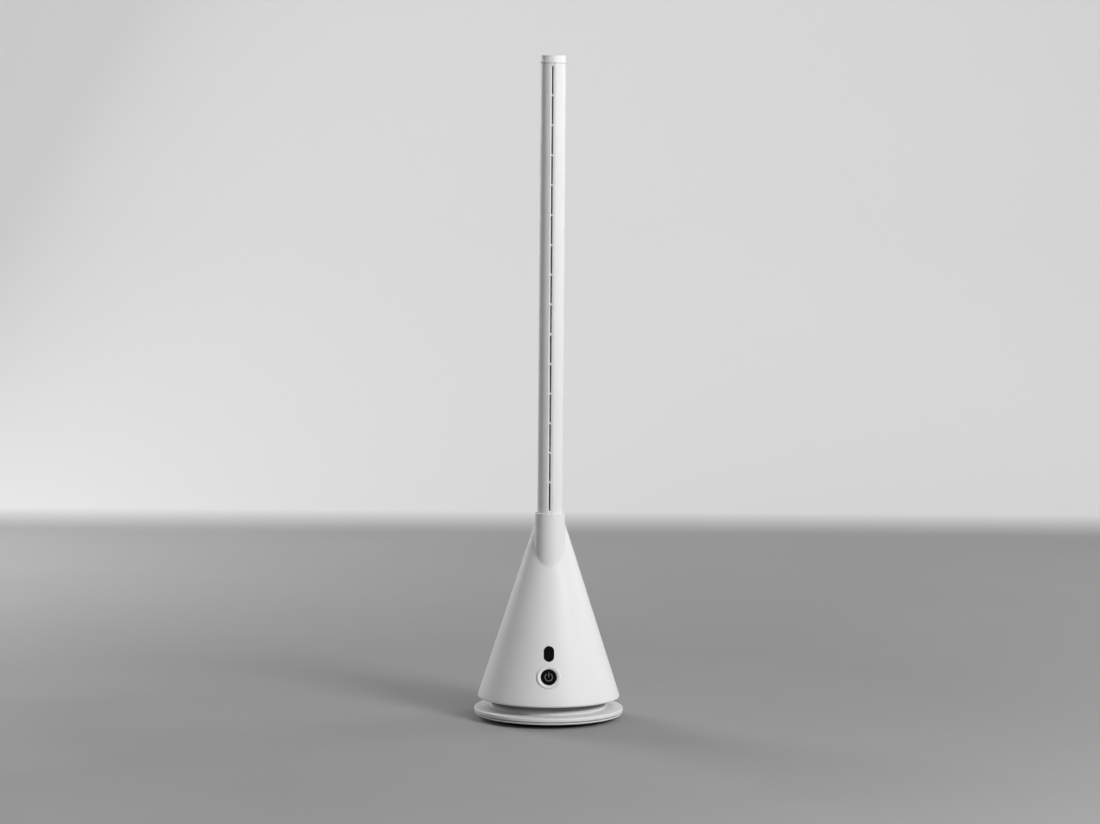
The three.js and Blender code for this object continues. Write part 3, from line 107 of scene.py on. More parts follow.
class Sum(Enum):
    """How a Math node works out two values."""

    ADD = "ADD"
    MULTIPLY = "MULTIPLY"
    LARGER = "MAXIMUM"


# ------------------------------------------------------------------ modelling
def leave_edit_mode() -> None:
    """Returns to object mode if a piece is being edited."""
    if bpy.context.object is not None and bpy.context.object.mode != "OBJECT":
        bpy.ops.object.mode_set(mode="OBJECT")


def select_none() -> None:
    """Deselects every object."""
    leave_edit_mode()
    bpy.ops.object.select_all(action="DESELECT")


def select_only(piece: bpy.types.Object) -> None:
    """Makes a piece the only selected and the active object.

    Args:
        piece: what is selected.
    """
    select_none()
    piece.select_set(True)
    bpy.context.view_layer.objects.active = piece


def name_piece(piece: bpy.types.Object, name: str) -> None:
    """Gives an object and its mesh the same name."""
    piece.name = name
    piece.data.name = name


def round_corners(corners: Sequence[Corner], closed: bool = True) -> list[Flat]:
    """Turns corners into a point list, with an arc where a corner has a radius.

    Args:
        corners: places with a fillet radius each, in drawing order.
        closed: whether the last corner is joined to the first.

    Returns:
        Points along the outline, the first not repeated at the end.
    """
    points: list[Flat] = []
    count = len(corners)
    for i, (x, y, radius) in enumerate(corners):
        if radius <= 0 or (not closed and i in (0, count - 1)):
            points.append((x, y))
            continue
        here = Vector((x, y))
        into = (Vector(corners[i - 1][:2]) - here).normalized()
        out = (Vector(corners[(i + 1) % count][:2]) - here).normalized()
        half = into.angle(out) / 2
        centre = here + (into + out).normalized() * radius / math.sin(half)
        first = here + into * radius / math.tan(half) - centre
        last = here + out * radius / math.tan(half) - centre
        start = math.atan2(first.y, first.x)
        sweep = (math.atan2(last.y, last.x) - start + math.pi) % FULL_TURN - math.pi
        steps = max(2, math.ceil(abs(sweep) / FILLET_STEP))
        for step in range(steps + 1):
            angle = start + sweep * step / steps
            x, y = radius * math.cos(angle), radius * math.sin(angle)
            points.append((centre.x + x, centre.y + y))
    return points


def arc(radius: float, start: float, end: float, steps: int) -> list[Flat]:
    """Points on an arc about the origin, angles in degrees."""
    angles = [math.radians(start + (end - start) * i / steps) for i in range(steps + 1)]
    return [(radius * math.cos(a), radius * math.sin(a)) for a in angles]


def circle(radius: float, steps: int, x: float = 0.0, y: float = 0.0) -> list[Flat]:
    """Points round a full circle about x, y."""
    return [(x + a, y + b) for a, b in arc(radius, 0, 360, steps)[:-1]]


def rectangle(
    left: float, right: float, low: float, high: float, fillet: float = 0.0
) -> list[Flat]:
    """Outline of a rectangle with its corners rounded by a fillet.

    Args:
        left: lowest x, in mm.
        right: highest x.
        low: lowest y.
        high: highest y.
        fillet: radius of its corners.

    Returns:
        Points along the outline.
    """
    return round_corners(
        [(left, low, fillet), (right, low, fillet), (right, high, fillet), (left, high, fillet)]
    )


def draw_line(name: str, points: Sequence[Vector]) -> bpy.types.Object:
    """Draws a line by extruding one point from place to place; stays in edit mode.

    Args:
        name: name of the new piece.
        points: places along the line, in metres.

    Returns:
        The new piece, in edit mode.
    """
    select_none()
    bpy.ops.mesh.primitive_plane_add(size=MM)
    piece = bpy.context.object
    name_piece(piece, name)
    bpy.ops.object.mode_set(mode="EDIT")
    bpy.ops.mesh.select_all(action="SELECT")
    bpy.ops.mesh.merge(type="CENTER")
    bpy.ops.transform.translate(value=points[0])
    for before, after in zip(points, points[1:]):
        bpy.ops.mesh.extrude_vertices_move(TRANSFORM_OT_translate={"value": after - before})
    return piece


def tidy_surface() -> None:
    """Merges doubled points of the piece in edit mode and turns its faces outwards."""
    bpy.ops.mesh.select_all(action="SELECT")
    bpy.ops.mesh.remove_doubles(threshold=MERGE_DISTANCE)
    bpy.ops.mesh.normals_make_consistent(inside=False)


def turned(
    name: str,
    outline: Sequence[Flat],
    steps: int,
    closed: bool = True,
    sweep: float = 360.0,
) -> bpy.types.Object:
    """Spins an outline of [radius, height] points about the Z axis.

    Args:
        name: name of the new piece.
        outline: section of the piece, in mm.
        steps: number of facets round the axis.
        closed: whether the section is a ring; otherwise it starts and ends on the axis.
        sweep: how far the section is turned, in degrees.

    Returns:
        The turned piece.
    """
    points = [Vector((r, 0, z)) * MM for r, z in outline]
    if closed:
        points.append(points[0])
    piece = draw_line(name, points)
    bpy.ops.mesh.select_all(action="SELECT")
    bpy.ops.mesh.spin(steps=steps, angle=math.radians(sweep), center=(0, 0, 0), axis=(0, 0, 1))
    bpy.ops.mesh.select_all(action="SELECT")
    bpy.ops.mesh.remove_doubles(threshold=MERGE_DISTANCE)
    if sweep < 360:
        bpy.ops.mesh.select_all(action="SELECT")
        bpy.ops.mesh.fill_holes(sides=0)
    tidy_surface()
    leave_edit_mode()
    return piece


def turned_ring(name: str, corners: Sequence[Corner], steps: int) -> bpy.types.Object:
    """Spins a closed section of rounded corners into a ring."""
    return turned(name, round_corners(corners), steps)


def turned_solid(name: str, corners: Sequence[Corner], steps: int) -> bpy.types.Object:
    """Spins rounded corners that start and end on the axis into a solid piece."""
    return turned(name, round_corners(corners, closed=False), steps, closed=False)


def pushed(name: str, outline: Sequence[Flat], depth: float, low: float = 0.0) -> bpy.types.Object:
    """Fills an outline drawn in the XY plane and extrudes it upwards.

    Args:
        name: name of the new piece.
        outline: closed outline, in mm.
        depth: how far it is extruded.
        low: height of the drawn face.

    Returns:
        The extruded piece.
    """
    points = [Vector((x, y, low)) * MM for x, y in outline]
    piece = draw_line(name, [*points, points[0]])
    bpy.ops.mesh.select_all(action="SELECT")
    bpy.ops.mesh.remove_doubles(threshold=MERGE_DISTANCE)
    bpy.ops.mesh.select_all(action="SELECT")
    bpy.ops.mesh.edge_face_add()
    bpy.ops.mesh.extrude_region_move(TRANSFORM_OT_translate={"value": (0, 0, depth * MM)})
    tidy_surface()
    leave_edit_mode()
    return piece


def pill(width: float, length: float, steps: int = 32) -> list[Flat]:
    """Outline of an upright slot with round ends.

    Args:
        width: size across, in mm.
        length: size from end to end.
        steps: facets round each end.

    Returns:
        Points along the outline.
    """
    reach = (length - width) / 2
    upper = [(x, y + reach) for x, y in arc(width / 2, 0, 180, steps)]
    lower = [(x, y - reach) for x, y in arc(width / 2, 180, 360, steps)]
    return upper + lower


def settle(piece: bpy.types.Object, place: Matrix) -> None:
    """Moves a piece into place and leaves its object at the origin.

    Args:
        piece: what is moved.
        place: where its own origin goes, and how it is turned.
    """
    select_only(piece)
    piece.matrix_world = place
    bpy.ops.object.transform_apply(location=True, rotation=True, scale=True)


def punch(
    name: str, outline: Sequence[Flat], place: Matrix, below: float = 6.0, above: float = 6.0
) -> bpy.types.Object:
    """Makes a cutter that runs through a surface.

    Args:
        name: name of the cutter.
        outline: outline of the hole, in mm.
        place: where the outline lies, with Z out of the surface.
        below: how far the cutter goes into the piece.
        above: how far it stands out.

    Returns:
        The cutter, in its place.
    """
    cutter = pushed(name, outline, below + above, -below)
    settle(cutter, place)
    return cutter


def copy_piece(piece: bpy.types.Object, name: str) -> bpy.types.Object:
    """Copies a piece together with its mesh.

    Args:
        piece: what is copied.
        name: name of the copy.

    Returns:
        The copy.
    """
    twin = piece.copy()
    twin.data = piece.data.copy()
    name_piece(twin, name)
    bpy.context.scene.collection.objects.link(twin)
    return twin


def joined(pieces: Sequence[bpy.types.Object]) -> bpy.types.Object:
    """Joins several meshes into the first of them.

    Args:
        pieces: what is joined.

    Returns:
        The first of them, which now holds all.
    """
    select_none()
    for piece in pieces:
        piece.select_set(True)
    bpy.context.view_layer.objects.active = pieces[0]
    bpy.ops.object.join()
    return pieces[0]


def apply_modifier(piece: bpy.types.Object, modifier: bpy.types.Modifier) -> None:
    """Applies a modifier to its piece."""
    select_only(piece)
    bpy.ops.object.modifier_apply(modifier=modifier.name)


def carve(
    piece: bpy.types.Object, cutter: bpy.types.Object, carving: Carving = Carving.CUT
) -> None:
    """Cuts a piece with a closed cutter and removes the cutter.

    Args:
        piece: what is cut.
        cutter: closed mesh, used up by the cut.
        carving: whether the cutter's inside goes or stays.
    """
    modifier = piece.modifiers.new("carve", "BOOLEAN")
    modifier.operation = carving.value
    modifier.solver = "EXACT"
    modifier.object = cutter
    apply_modifier(piece, modifier)
    bpy.data.objects.remove(cutter)


def soften(piece: bpy.types.Object, width: float, angle: float, segments: int = 2) -> None:
    """Rounds the edges of a piece that are sharper than an angle.

    Args:
        piece: what is rounded.
        width: width of the rounding, in mm.
        angle: smallest angle between faces that counts as an edge, in degrees.
        segments: facets across the rounding.
    """
    modifier = piece.modifiers.new("soften", "BEVEL")
    modifier.width = width * MM
    modifier.segments = segments
    modifier.limit_method = "ANGLE"
    modifier.angle_limit = math.radians(angle)
    apply_modifier(piece, modifier)


def shade(piece: bpy.types.Object, angle: float = SMOOTH_ANGLE) -> None:
    """Shades a piece smooth, apart from edges sharper than an angle in degrees."""
    select_only(piece)
    bpy.ops.object.shade_smooth_by_angle(angle=math.radians(angle))


# ------------------------------------------------------------------ finishes
def worked_out(
    tree: bpy.types.NodeTree,
    operation: Sum,
    first: bpy.types.NodeSocket,
    second: bpy.types.NodeSocket,
) -> bpy.types.NodeSocket:
    """Works out two values in a node tree.

    Args:
        tree: shader nodes that the values belong to.
        operation: what is done with them.
        first: one value.
        second: the other value.

    Returns:
        The result.
    """
    node = tree.nodes.new("ShaderNodeMath")
    node.operation = operation.value
    tree.links.new(first, node.inputs[0])
    tree.links.new(second, node.inputs[1])
    return node.outputs["Value"]


class Recipe:
    """Shader nodes of one finish, added step by step."""

    def __init__(self, name: str) -> None:
        """Starts a material whose patterns lie in object coordinates.

        Args:
            name: name of the material.
        """
        self.material = bpy.data.materials.new(name)
        self.material.use_nodes = True
        self.tree = self.material.node_tree
        self.shader = self.tree.nodes["Principled BSDF"]
        self.place = self.tree.nodes.new("ShaderNodeTexCoord").outputs["Object"]

    def link(self, source: bpy.types.NodeSocket, target: bpy.types.NodeSocket) -> None:
        """Links one socket to another."""
        self.tree.links.new(source, target)

    def stretched(self, scale: tuple[float, float, float]) -> bpy.types.NodeSocket:
        """Object coordinates drawn out along the axes.

        Args:
            scale: how much denser a pattern gets along X, Y and Z.

        Returns:
            The stretched coordinates.
        """
        mapping = self.tree.nodes.new("ShaderNodeMapping")
        mapping.inputs["Scale"].default_value = scale
        self.link(self.place, mapping.inputs["Vector"])
        return mapping.outputs["Vector"]

    def noise(
        self, size: float, detail: float = 3.0, place: bpy.types.NodeSocket | None = None
    ) -> bpy.types.NodeSocket:
        """Soft noise.

        Args:
            size: rough size of its patches, in mm.
            detail: number of finer layers on it.
            place: coordinates it is read at.

        Returns:
            Value from 0 to 1.
        """
        node = self.tree.nodes.new("ShaderNodeTexNoise")
        node.inputs["Scale"].default_value = 1 / (size * MM)
        node.inputs["Detail"].default_value = detail
        self.link(place or self.place, node.inputs["Vector"])
        return node.outputs["Fac"]

    def cells(self, size: float) -> bpy.types.NodeSocket:
        """Distance to the nearest of scattered points, for pores and pits.

        Args:
            size: rough distance between the points, in mm.

        Returns:
            The distance.
        """
        node = self.tree.nodes.new("ShaderNodeTexVoronoi")
        node.inputs["Scale"].default_value = 1 / (size * MM)
        self.link(self.place, node.inputs["Vector"])
        return node.outputs["Distance"]

    def ranged(
        self,
        value: bpy.types.NodeSocket,
        low: float,
        high: float,
        start: float = 0.3,
        end: float = 0.7,
    ) -> bpy.types.NodeSocket:
        """Maps a value from one range to another.

        Args:
            value: what is mapped.
            low: result at the start.
            high: result at the end.
            start: value at which the range starts.
            end: value at which it ends.

        Returns:
            The mapped value.
        """
        node = self.tree.nodes.new("ShaderNodeMapRange")
        node.inputs["From Min"].default_value = start
        node.inputs["From Max"].default_value = end
        node.inputs["To Min"].default_value = low
        node.inputs["To Max"].default_value = high
        self.link(value, node.inputs["Value"])
        return node.outputs["Result"]

    def blended(
        self,
        share: bpy.types.NodeSocket,
        first: Colour | bpy.types.NodeSocket,
        second: Colour | bpy.types.NodeSocket,
    ) -> bpy.types.NodeSocket:
        """Mixes two colours.

        Args:
            share: how much of the second colour shows, from 0 to 1.
            first: colour at 0.
            second: colour at 1.

        Returns:
            The mixed colour.
        """
        node = self.tree.nodes.new("ShaderNodeMix")
        node.data_type = "RGBA"
        self.link(share, node.inputs[0])
        for socket, colour in ((node.inputs[6], first), (node.inputs[7], second)):
            if isinstance(colour, bpy.types.NodeSocket):
                self.link(colour, socket)
            else:
                socket.default_value = (*colour, 1)
        return node.outputs[2]

    def height_above_floor(self) -> bpy.types.NodeSocket:
        """Height of the shaded point in metres.

        Returns:
            The height.
        """
        node = self.tree.nodes.new("ShaderNodeSeparateXYZ")
        self.link(self.place, node.inputs["Vector"])
        return node.outputs["Z"]

    def distance_out(self) -> bpy.types.NodeSocket:
        """Distance of the shaded point from the middle of the floor in metres.

        Returns:
            The distance.
        """
        node = self.tree.nodes.new("ShaderNodeVectorMath")
        node.operation = "LENGTH"
        self.link(self.place, node.inputs[0])
        return node.outputs["Value"]

    def when_seen(self, value: bpy.types.NodeSocket) -> bpy.types.NodeSocket:
        """Keeps a value for what is seen directly, mirrored or through glass.

        Args:
            value: strength of a glow.

        Returns:
            The strength where the surface is seen, and 0 where it would light something.
        """
        path = self.tree.nodes.new("ShaderNodeLightPath")
        seen = path.outputs["Is Camera Ray"]
        for ray in ("Is Glossy Ray", "Is Transmission Ray"):
            seen = worked_out(self.tree, Sum.LARGER, seen, path.outputs[ray])
        return worked_out(self.tree, Sum.MULTIPLY, seen, value)

    def bumped(
        self,
        height: bpy.types.NodeSocket,
        depth: float,
        strength: float,
        below: bpy.types.NodeSocket | None = None,
    ) -> bpy.types.NodeSocket:
        """Raises the surface by a height pattern.

        Args:
            height: pattern from 0 to 1.
            depth: height of the pattern, in mm.
            strength: how strongly it shows.
            below: normal of a coarser pattern that this one lies on.

        Returns:
            The raised normal.
        """
        node = self.tree.nodes.new("ShaderNodeBump")
        node.inputs["Distance"].default_value = depth * MM
        node.inputs["Strength"].default_value = strength
        self.link(height, node.inputs["Height"])
        if below is not None:
            self.link(below, node.inputs["Normal"])
        return node.outputs["Normal"]

    def finish(
        self,
        colour: bpy.types.NodeSocket,
        roughness: bpy.types.NodeSocket,
        normal: bpy.types.NodeSocket,
    ) -> bpy.types.Material:
        """Links the patterns to the shader.

        Args:
            colour: base colour.
            roughness: roughness.
            normal: raised normal.

        Returns:
            The finished material.
        """
        self.link(colour, self.shader.inputs["Base Color"])
        self.link(roughness, self.shader.inputs["Roughness"])
        self.link(normal, self.shader.inputs["Normal"])
        return self.material


@dataclass(frozen=True)
class MouldedPlastic:
    """Injection-moulded plastic with a fine spark-eroded grain."""

    name: str
    colour: Colour
    tint: Colour
    roughness: Flat = (0.46, 0.56)
    grain: float = 0.45
    grain_depth: float = 0.006
    ripple_depth: float = 0.02
    dust: Colour | None = None
    # Painted shade: a colour blended in between two heights in metres, darker towards the top.
    painted_shade: Colour | None = None
    painted_shade_heights: Flat = (0.0195, 0.0255)
    dust_height: float = 0.045
    dust_share: float = 0.3

    def build(self) -> bpy.types.Material:
        """Builds the material: mottled colour, handled gloss, grain and faint ripples, with a
        painted shade blended in above a height where one is given.

        Returns:
            The finished material.
        """
        recipe = Recipe(self.name)
        colour = recipe.blended(
            recipe.ranged(recipe.noise(140, 2), 0, 1), self.colour, self.tint
        )
        speckle = recipe.ranged(recipe.noise(1.2, 2), 0, 0.35, 0.62, 0.8)
        colour = recipe.blended(speckle, colour, self.tint)
        if self.dust is not None:
            height = recipe.height_above_floor()
            settled = recipe.ranged(height, self.dust_share, 0, 0.0, self.dust_height)
            colour = recipe.blended(settled, colour, self.dust)
        # Painted shade: the colour goes over to the painted shade colour between the two heights.
        if self.painted_shade is not None:
            painted_shade_share = recipe.ranged(recipe.height_above_floor(), 0, 1, *self.painted_shade_heights)
            colour = recipe.blended(painted_shade_share, colour, self.painted_shade)
        drawn = recipe.stretched((1, 1, 0.3))
        gloss = recipe.ranged(recipe.noise(38, 4, drawn), *self.roughness)
        ripple = recipe.bumped(recipe.noise(55, 1), self.ripple_depth, 0.5)
        grain = recipe.bumped(recipe.noise(self.grain, 2), self.grain_depth, 0.35, ripple)
        recipe.shader.inputs["IOR"].default_value = PLASTIC_IOR
        return recipe.finish(colour, gloss, grain)


@dataclass(frozen=True)
class PolishedPlastic:
    """Gloss black plastic with faint wipe marks and specks of dust."""

    name: str
    colour: Colour
    tint: Colour
    roughness: Flat = (0.03, 0.11)
    coat: float = 0.5
    coat_roughness: float = 0.03

    def build(self) -> bpy.types.Material:
        """Builds the material: near-black colour, wiped gloss, hairline marks, clear coat.

        Returns:
            The finished material.
        """
        recipe = Recipe(self.name)
        specks = recipe.ranged(recipe.noise(0.5, 1), 0, 0.6, 0.7, 0.8)
        colour = recipe.blended(specks, self.colour, self.tint)
        wiped = recipe.stretched((1, 0.4, 0.12))
        gloss = recipe.ranged(recipe.noise(4, 4, wiped), *self.roughness)
        marks = recipe.bumped(recipe.noise(0.6, 3, wiped), 0.002, 0.2)
        recipe.shader.inputs["Coat Weight"].default_value = self.coat
        recipe.shader.inputs["Coat Roughness"].default_value = self.coat_roughness
        recipe.shader.inputs["IOR"].default_value = PLASTIC_IOR
        return recipe.finish(colour, gloss, marks)


@dataclass(frozen=True)
class MattRubber:
    """Black rubber, slightly chalky where it has picked up dust."""

    name: str
    colour: Colour
    dust: Colour

    def build(self) -> bpy.types.Material:
        """Builds the material: chalky patches, dull sheen and a leathery grain.

        Returns:
            The finished material.
        """
        recipe = Recipe(self.name)
        patches = recipe.ranged(recipe.noise(9, 4), 0, 0.5, 0.45, 0.75)
        colour = recipe.blended(patches, self.colour, self.dust)
        gloss = recipe.ranged(recipe.noise(6, 2), 0.68, 0.86)
        grain = recipe.bumped(recipe.cells(0.7), 0.03, 0.5)
        return recipe.finish(colour, gloss, grain)


@dataclass(frozen=True)
class PlatedSteel:
    """Zinc-plated steel with drawn streaks and dull spots."""

    name: str
    colour: Colour
    stain: Colour

    def build(self) -> bpy.types.Material:
        """Builds the material: streaked gloss, blotchy plating and fine scratches.

        Returns:
            The finished material.
        """
        recipe = Recipe(self.name)
        blotches = recipe.ranged(recipe.noise(7, 4), 0, 0.6, 0.45, 0.7)
        colour = recipe.blended(blotches, self.colour, self.stain)
        drawn = recipe.stretched((1, 1, 0.08))
        gloss = recipe.ranged(recipe.noise(1.6, 4, drawn), 0.24, 0.42)
        scratches = recipe.bumped(recipe.noise(0.5, 3, drawn), 0.004, 0.4)
        recipe.shader.inputs["Metallic"].default_value = 1.0
        return recipe.finish(colour, gloss, scratches)


@dataclass(frozen=True)
class OpenFoam:
    """Open-pored filter foam."""

    name: str
    colour: Colour
    pores_with_painted_shade: Colour

    def build(self) -> bpy.types.Material:
        """Builds the material: pores painted dark between lighter strands, a painted shade in the
        pores.

        Returns:
            The finished material.
        """
        recipe = Recipe(self.name)
        pores_with_painted_shade = recipe.cells(1.3)
        # Dark pore colour: painted shade in the pores.
        colour = recipe.blended(recipe.ranged(pores_with_painted_shade, 0, 1, 0.1, 0.5), self.pores_with_painted_shade, self.colour)
        gloss = recipe.ranged(recipe.noise(20, 2), 0.88, 0.98)
        return recipe.finish(colour, gloss, recipe.bumped(pores_with_painted_shade, 0.5, 1.0))


@dataclass(frozen=True)
class CircuitBoard:
    """Green solder resist over copper tracks."""

    name: str
    resist: Colour
    track: Colour
    track_pitch: float = 6.0
    track_width: float = 0.06

    def build(self) -> bpy.types.Material:
        """Builds the material: straight tracks a little lighter than the resist.

        Returns:
            The finished material.
        """
        recipe = Recipe(self.name)
        tracks = recipe.tree.nodes.new("ShaderNodeTexBrick")
        tracks.inputs["Scale"].default_value = 1 / (self.track_pitch * MM)
        tracks.inputs["Mortar Size"].default_value = self.track_width
        recipe.link(recipe.place, tracks.inputs["Vector"])
        colour = recipe.blended(tracks.outputs["Fac"], self.resist, self.track)
        gloss = recipe.ranged(recipe.noise(5, 3), 0.3, 0.45)
        return recipe.finish(colour, gloss, recipe.bumped(tracks.outputs["Fac"], 0.03, 0.6))


FINISHES = {
    Slot.WHITE: MouldedPlastic(
        "satin_white", (0.86, 0.86, 0.858), (0.836, 0.836, 0.833), dust=(0.72, 0.715, 0.705)
    ),
    Slot.INNER: MouldedPlastic(
        "inner_white", (0.72, 0.72, 0.70), (0.67, 0.67, 0.65), (0.5, 0.62), 0.8, 0.02
    ),
    Slot.GREY: MouldedPlastic(
        "filled_grey", (0.09, 0.095, 0.10), (0.12, 0.122, 0.124), (0.42, 0.56), 0.6, 0.02
    ),
    Slot.BLACK: MouldedPlastic(
        "matt_black", (0.012, 0.012, 0.013), (0.018, 0.018, 0.018), (0.45, 0.6), 0.5, 0.02,
        dust=(0.035, 0.034, 0.032),
    ),
    Slot.GLOSS: PolishedPlastic("polished_black", (0.003, 0.003, 0.0032), (0.02, 0.02, 0.02)),
    Slot.GEAR: MouldedPlastic(
        "natural_acetal", (0.78, 0.75, 0.66), (0.74, 0.70, 0.60), (0.34, 0.44), 0.6, 0.01
    ),
    Slot.RUBBER: MattRubber("matt_rubber", (0.012, 0.012, 0.012), (0.03, 0.029, 0.028)),
    Slot.STEEL: PlatedSteel("zinc_steel", (0.52, 0.53, 0.55), (0.40, 0.40, 0.40)),
    Slot.FOAM: OpenFoam("filter_foam", (0.045, 0.046, 0.048), (0.004, 0.004, 0.004)),
    Slot.BOARD: CircuitBoard("solder_resist", (0.014, 0.10, 0.045), (0.03, 0.17, 0.07)),
}
SYMBOL_INK = MouldedPlastic(
    "symbol_ink", (0.25, 0.25, 0.255), (0.21, 0.21, 0.215), (0.4, 0.55), 0.2, 0.003
)
# White neck painted darker towards its top: painted shade under the housing's rim.
NECK_PAINTED_SHADE = MouldedPlastic(
    "neck_white_painted_shade", (0.86, 0.86, 0.858), (0.836, 0.836, 0.833), (0.5, 0.62), 0.8, 0.01,
    painted_shade=(0.2, 0.2, 0.198),
)


class FinishRack:
    """All built finishes, handed to the pieces by slot."""

    def __init__(self) -> None:
        """Builds each finish once."""
        self.materials = {slot: finish.build() for slot, finish in FINISHES.items()}
        self.ink = SYMBOL_INK.build()
        # Neck finish, with painted shade towards its top.
        self.shaded = NECK_PAINTED_SHADE.build()

    def coat(self, piece: bpy.types.Object, material: bpy.types.Material) -> None:
        """Gives a whole piece one material."""
        piece.data.materials.clear()
        piece.data.materials.append(material)

    def dress_frame(self) -> None:
        """Gives every CAD node the finish of its slot."""
        for part in frame["record"]["subparts"]:
            node = frame["nodes"][part["node"]]
            material = self.materials[Slot(part["material_slot"])]
            for holder in node.material_slots:
                holder.material = material
            if not node.material_slots:
                node.data.materials.append(material)

    def hand_over(
        self,
        piece: bpy.types.Object,
        body: Body,
        slot: Slot,
        replaced: Sequence[str] = (),
        material: bpy.types.Material | None = None,
        smooth: float = SMOOTH_ANGLE,
    ) -> None:
        """Shades and coats a piece and sets it on its body.

        Args:
            piece: the finished mesh.
            body: CAD body that it moves with.
            slot: record slot that it takes its finish from.
            replaced: CAD nodes that it stands for.
            material: finish to use in place of the slot's own.
            smooth: angle above which its edges stay sharp, in degrees.
        """
        shade(piece, smooth)
        self.coat(piece, material or self.materials[slot])
        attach(piece, body.value)
        if replaced:
            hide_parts(*replaced)
        LOG.info("%s rides on %s, %d faces", piece.name, body.value, len(piece.data.polygons))


# ------------------------------------------------------------------ shared form of the housing
@dataclass(frozen=True)
class ConeForm:
    """Cone and collar that the front and rear pieces are fitted to."""

    rim_height: float = 33.0
    rim_radius: float = 110.5
    half_angle: float = 17.93
    top: float = 321.0
    wall: float = 3.0
    tube_offset: float = 19.0
    collar_radius: float = 22.75
    collar_draft: float = 1.22
    blend: float = 0.9
    ring_step: float = 10.0
    facets: int = 360

    @property
    def slope(self) -> float:
        """Radius lost per millimetre of height."""
        return math.tan(math.radians(self.half_angle))

    @property
    def radial_wall(self) -> float:
        """Wall thickness measured along the radius."""
        return self.across(self.wall)

    def across(self, thickness: float) -> float:
        """Thickness under the surface, measured along the radius."""
        return thickness / math.cos(math.radians(self.half_angle))

    def radius(self, height: float) -> float:
        """Outer radius of the cone at a height."""
        return self.rim_radius - (height - self.rim_height) * self.slope

    def collar(self, height: float) -> float:
        """Outer radius of the collar at a height."""
        return self.collar_radius + (self.top - height) * math.tan(math.radians(self.collar_draft))

    def circle_reach(self, bearing: np.ndarray, radius: float) -> np.ndarray:
        """Distance from the cone's axis to a circle about the tube's axis."""
        along = -self.tube_offset * np.sin(bearing)
        return along + np.sqrt(radius**2 - self.tube_offset**2 + along**2)

    def outer_reach(self, bearing: np.ndarray, height: float, inset: float) -> np.ndarray:
        """Distance from the cone's axis to the housing's skin, with a soft inner corner.

        Args:
            bearing: directions about the cone's axis, in radians.
            height: level of the ring.
            inset: how far inside the skin the ring lies.

        Returns:
            One distance per bearing.
        """
        cone = np.full_like(bearing, self.radius(height) - inset)
        collar = self.circle_reach(bearing, self.collar(height) - inset)
        meeting = np.clip(1 - np.abs(cone - collar) / self.blend, 0, 1)
        return np.maximum(cone, collar) + meeting**2 * self.blend / 4

    def on_cone(self, side: Side, height: float) -> Matrix:
        """Frame on the cone's front or back line: X across, Y up the slope, Z outwards.

        Args:
            side: front or back.
            height: level of its origin.

        Returns:
            The frame, in metres.
        """
        lean = math.radians(self.half_angle)
        sign = side.value
        across = Vector((-sign, 0, 0))
        up = Vector((0, -sign * math.sin(lean), math.cos(lean)))
        out = Vector((0, sign * math.cos(lean), math.sin(lean)))
        turn = Matrix((across, up, out)).transposed().to_4x4()
        return Matrix.Translation(Vector((0, sign * self.radius(height), height)) * MM) @ turn

    def shell_ring(self, name: str, skin: float, low: float, high: float) -> bpy.types.Object:
        """Ring of the cone's wall between two heights.

        Args:
            name: name of the new piece.
            skin: thickness of the ring under the surface.
            low: lower level.
            high: upper level.

        Returns:
            The ring, with its facets in line with the housing's.
        """
        inset = self.across(skin)
        levels = np.linspace(low, high, max(2, round((high - low) / self.ring_step))).tolist()
        outline = [(self.radius(z), z) for z in levels]
        outline += [(self.radius(z) - inset, z) for z in reversed(levels)]
        return turned(name, outline, self.facets)


# ------------------------------------------------------------------ base
@dataclass
class Fasteners:
    """Pan-head screws, modelled once and copied."""

    rack: FinishRack
    head_radius: float = 3.8
    head_height: float = 2.0
    shank_radius: float = 1.9
    shank_length: float = 9.0
    recess_width: float = 1.1
    recess_length: float = 4.2
    recess_depth: float = 1.2
    point: float = 0.6
    crown: Flat = (0.72, 0.4)
    facets: int = 40

    def build(self, places: Sequence[tuple[str, str, Body, float, float, float]]) -> None:
        """Builds the screws.

        Args:
            places: piece name, node, body, x, y and seat height of each screw.
        """
        master = self._screw()
        for name, node, body, x, y, seat in places:
            screw = copy_piece(master, name)
            settle(screw, Matrix.Translation(Vector((x, y, seat)) * MM))
            self.rack.hand_over(screw, body, Slot.STEEL, [node])
        bpy.data.objects.remove(master)

    def _screw(self) -> bpy.types.Object:
        """One screw, its head hanging below the origin.

        Returns:
            The screw, with its cross recess.
        """
        low = -self.head_height
        corners = [
            (0, low, 0),
            (self.head_radius * self.crown[0], low, 1.2),
            (self.head_radius, low * self.crown[1], 0.3),
            (self.head_radius, 0, 0.1),
            (self.shank_radius, 0, 0),
            (self.shank_radius, self.shank_length - self.point, 0),
            (self.shank_radius - self.point, self.shank_length, 0),
            (0, self.shank_length, 0),
        ]
        screw = turned_solid("screw_master", corners, self.facets)
        length, width = self.recess_length / 2, self.recess_width / 2
        outline = rectangle(-length, length, -width, width, 0.3)
        for turn in (0.0, 90.0):
            bar = pushed("recess", outline, self.recess_depth + 1, low - 1)
            settle(bar, Matrix.Rotation(math.radians(turn), 4, "Z"))
            carve(screw, bar)
        return screw


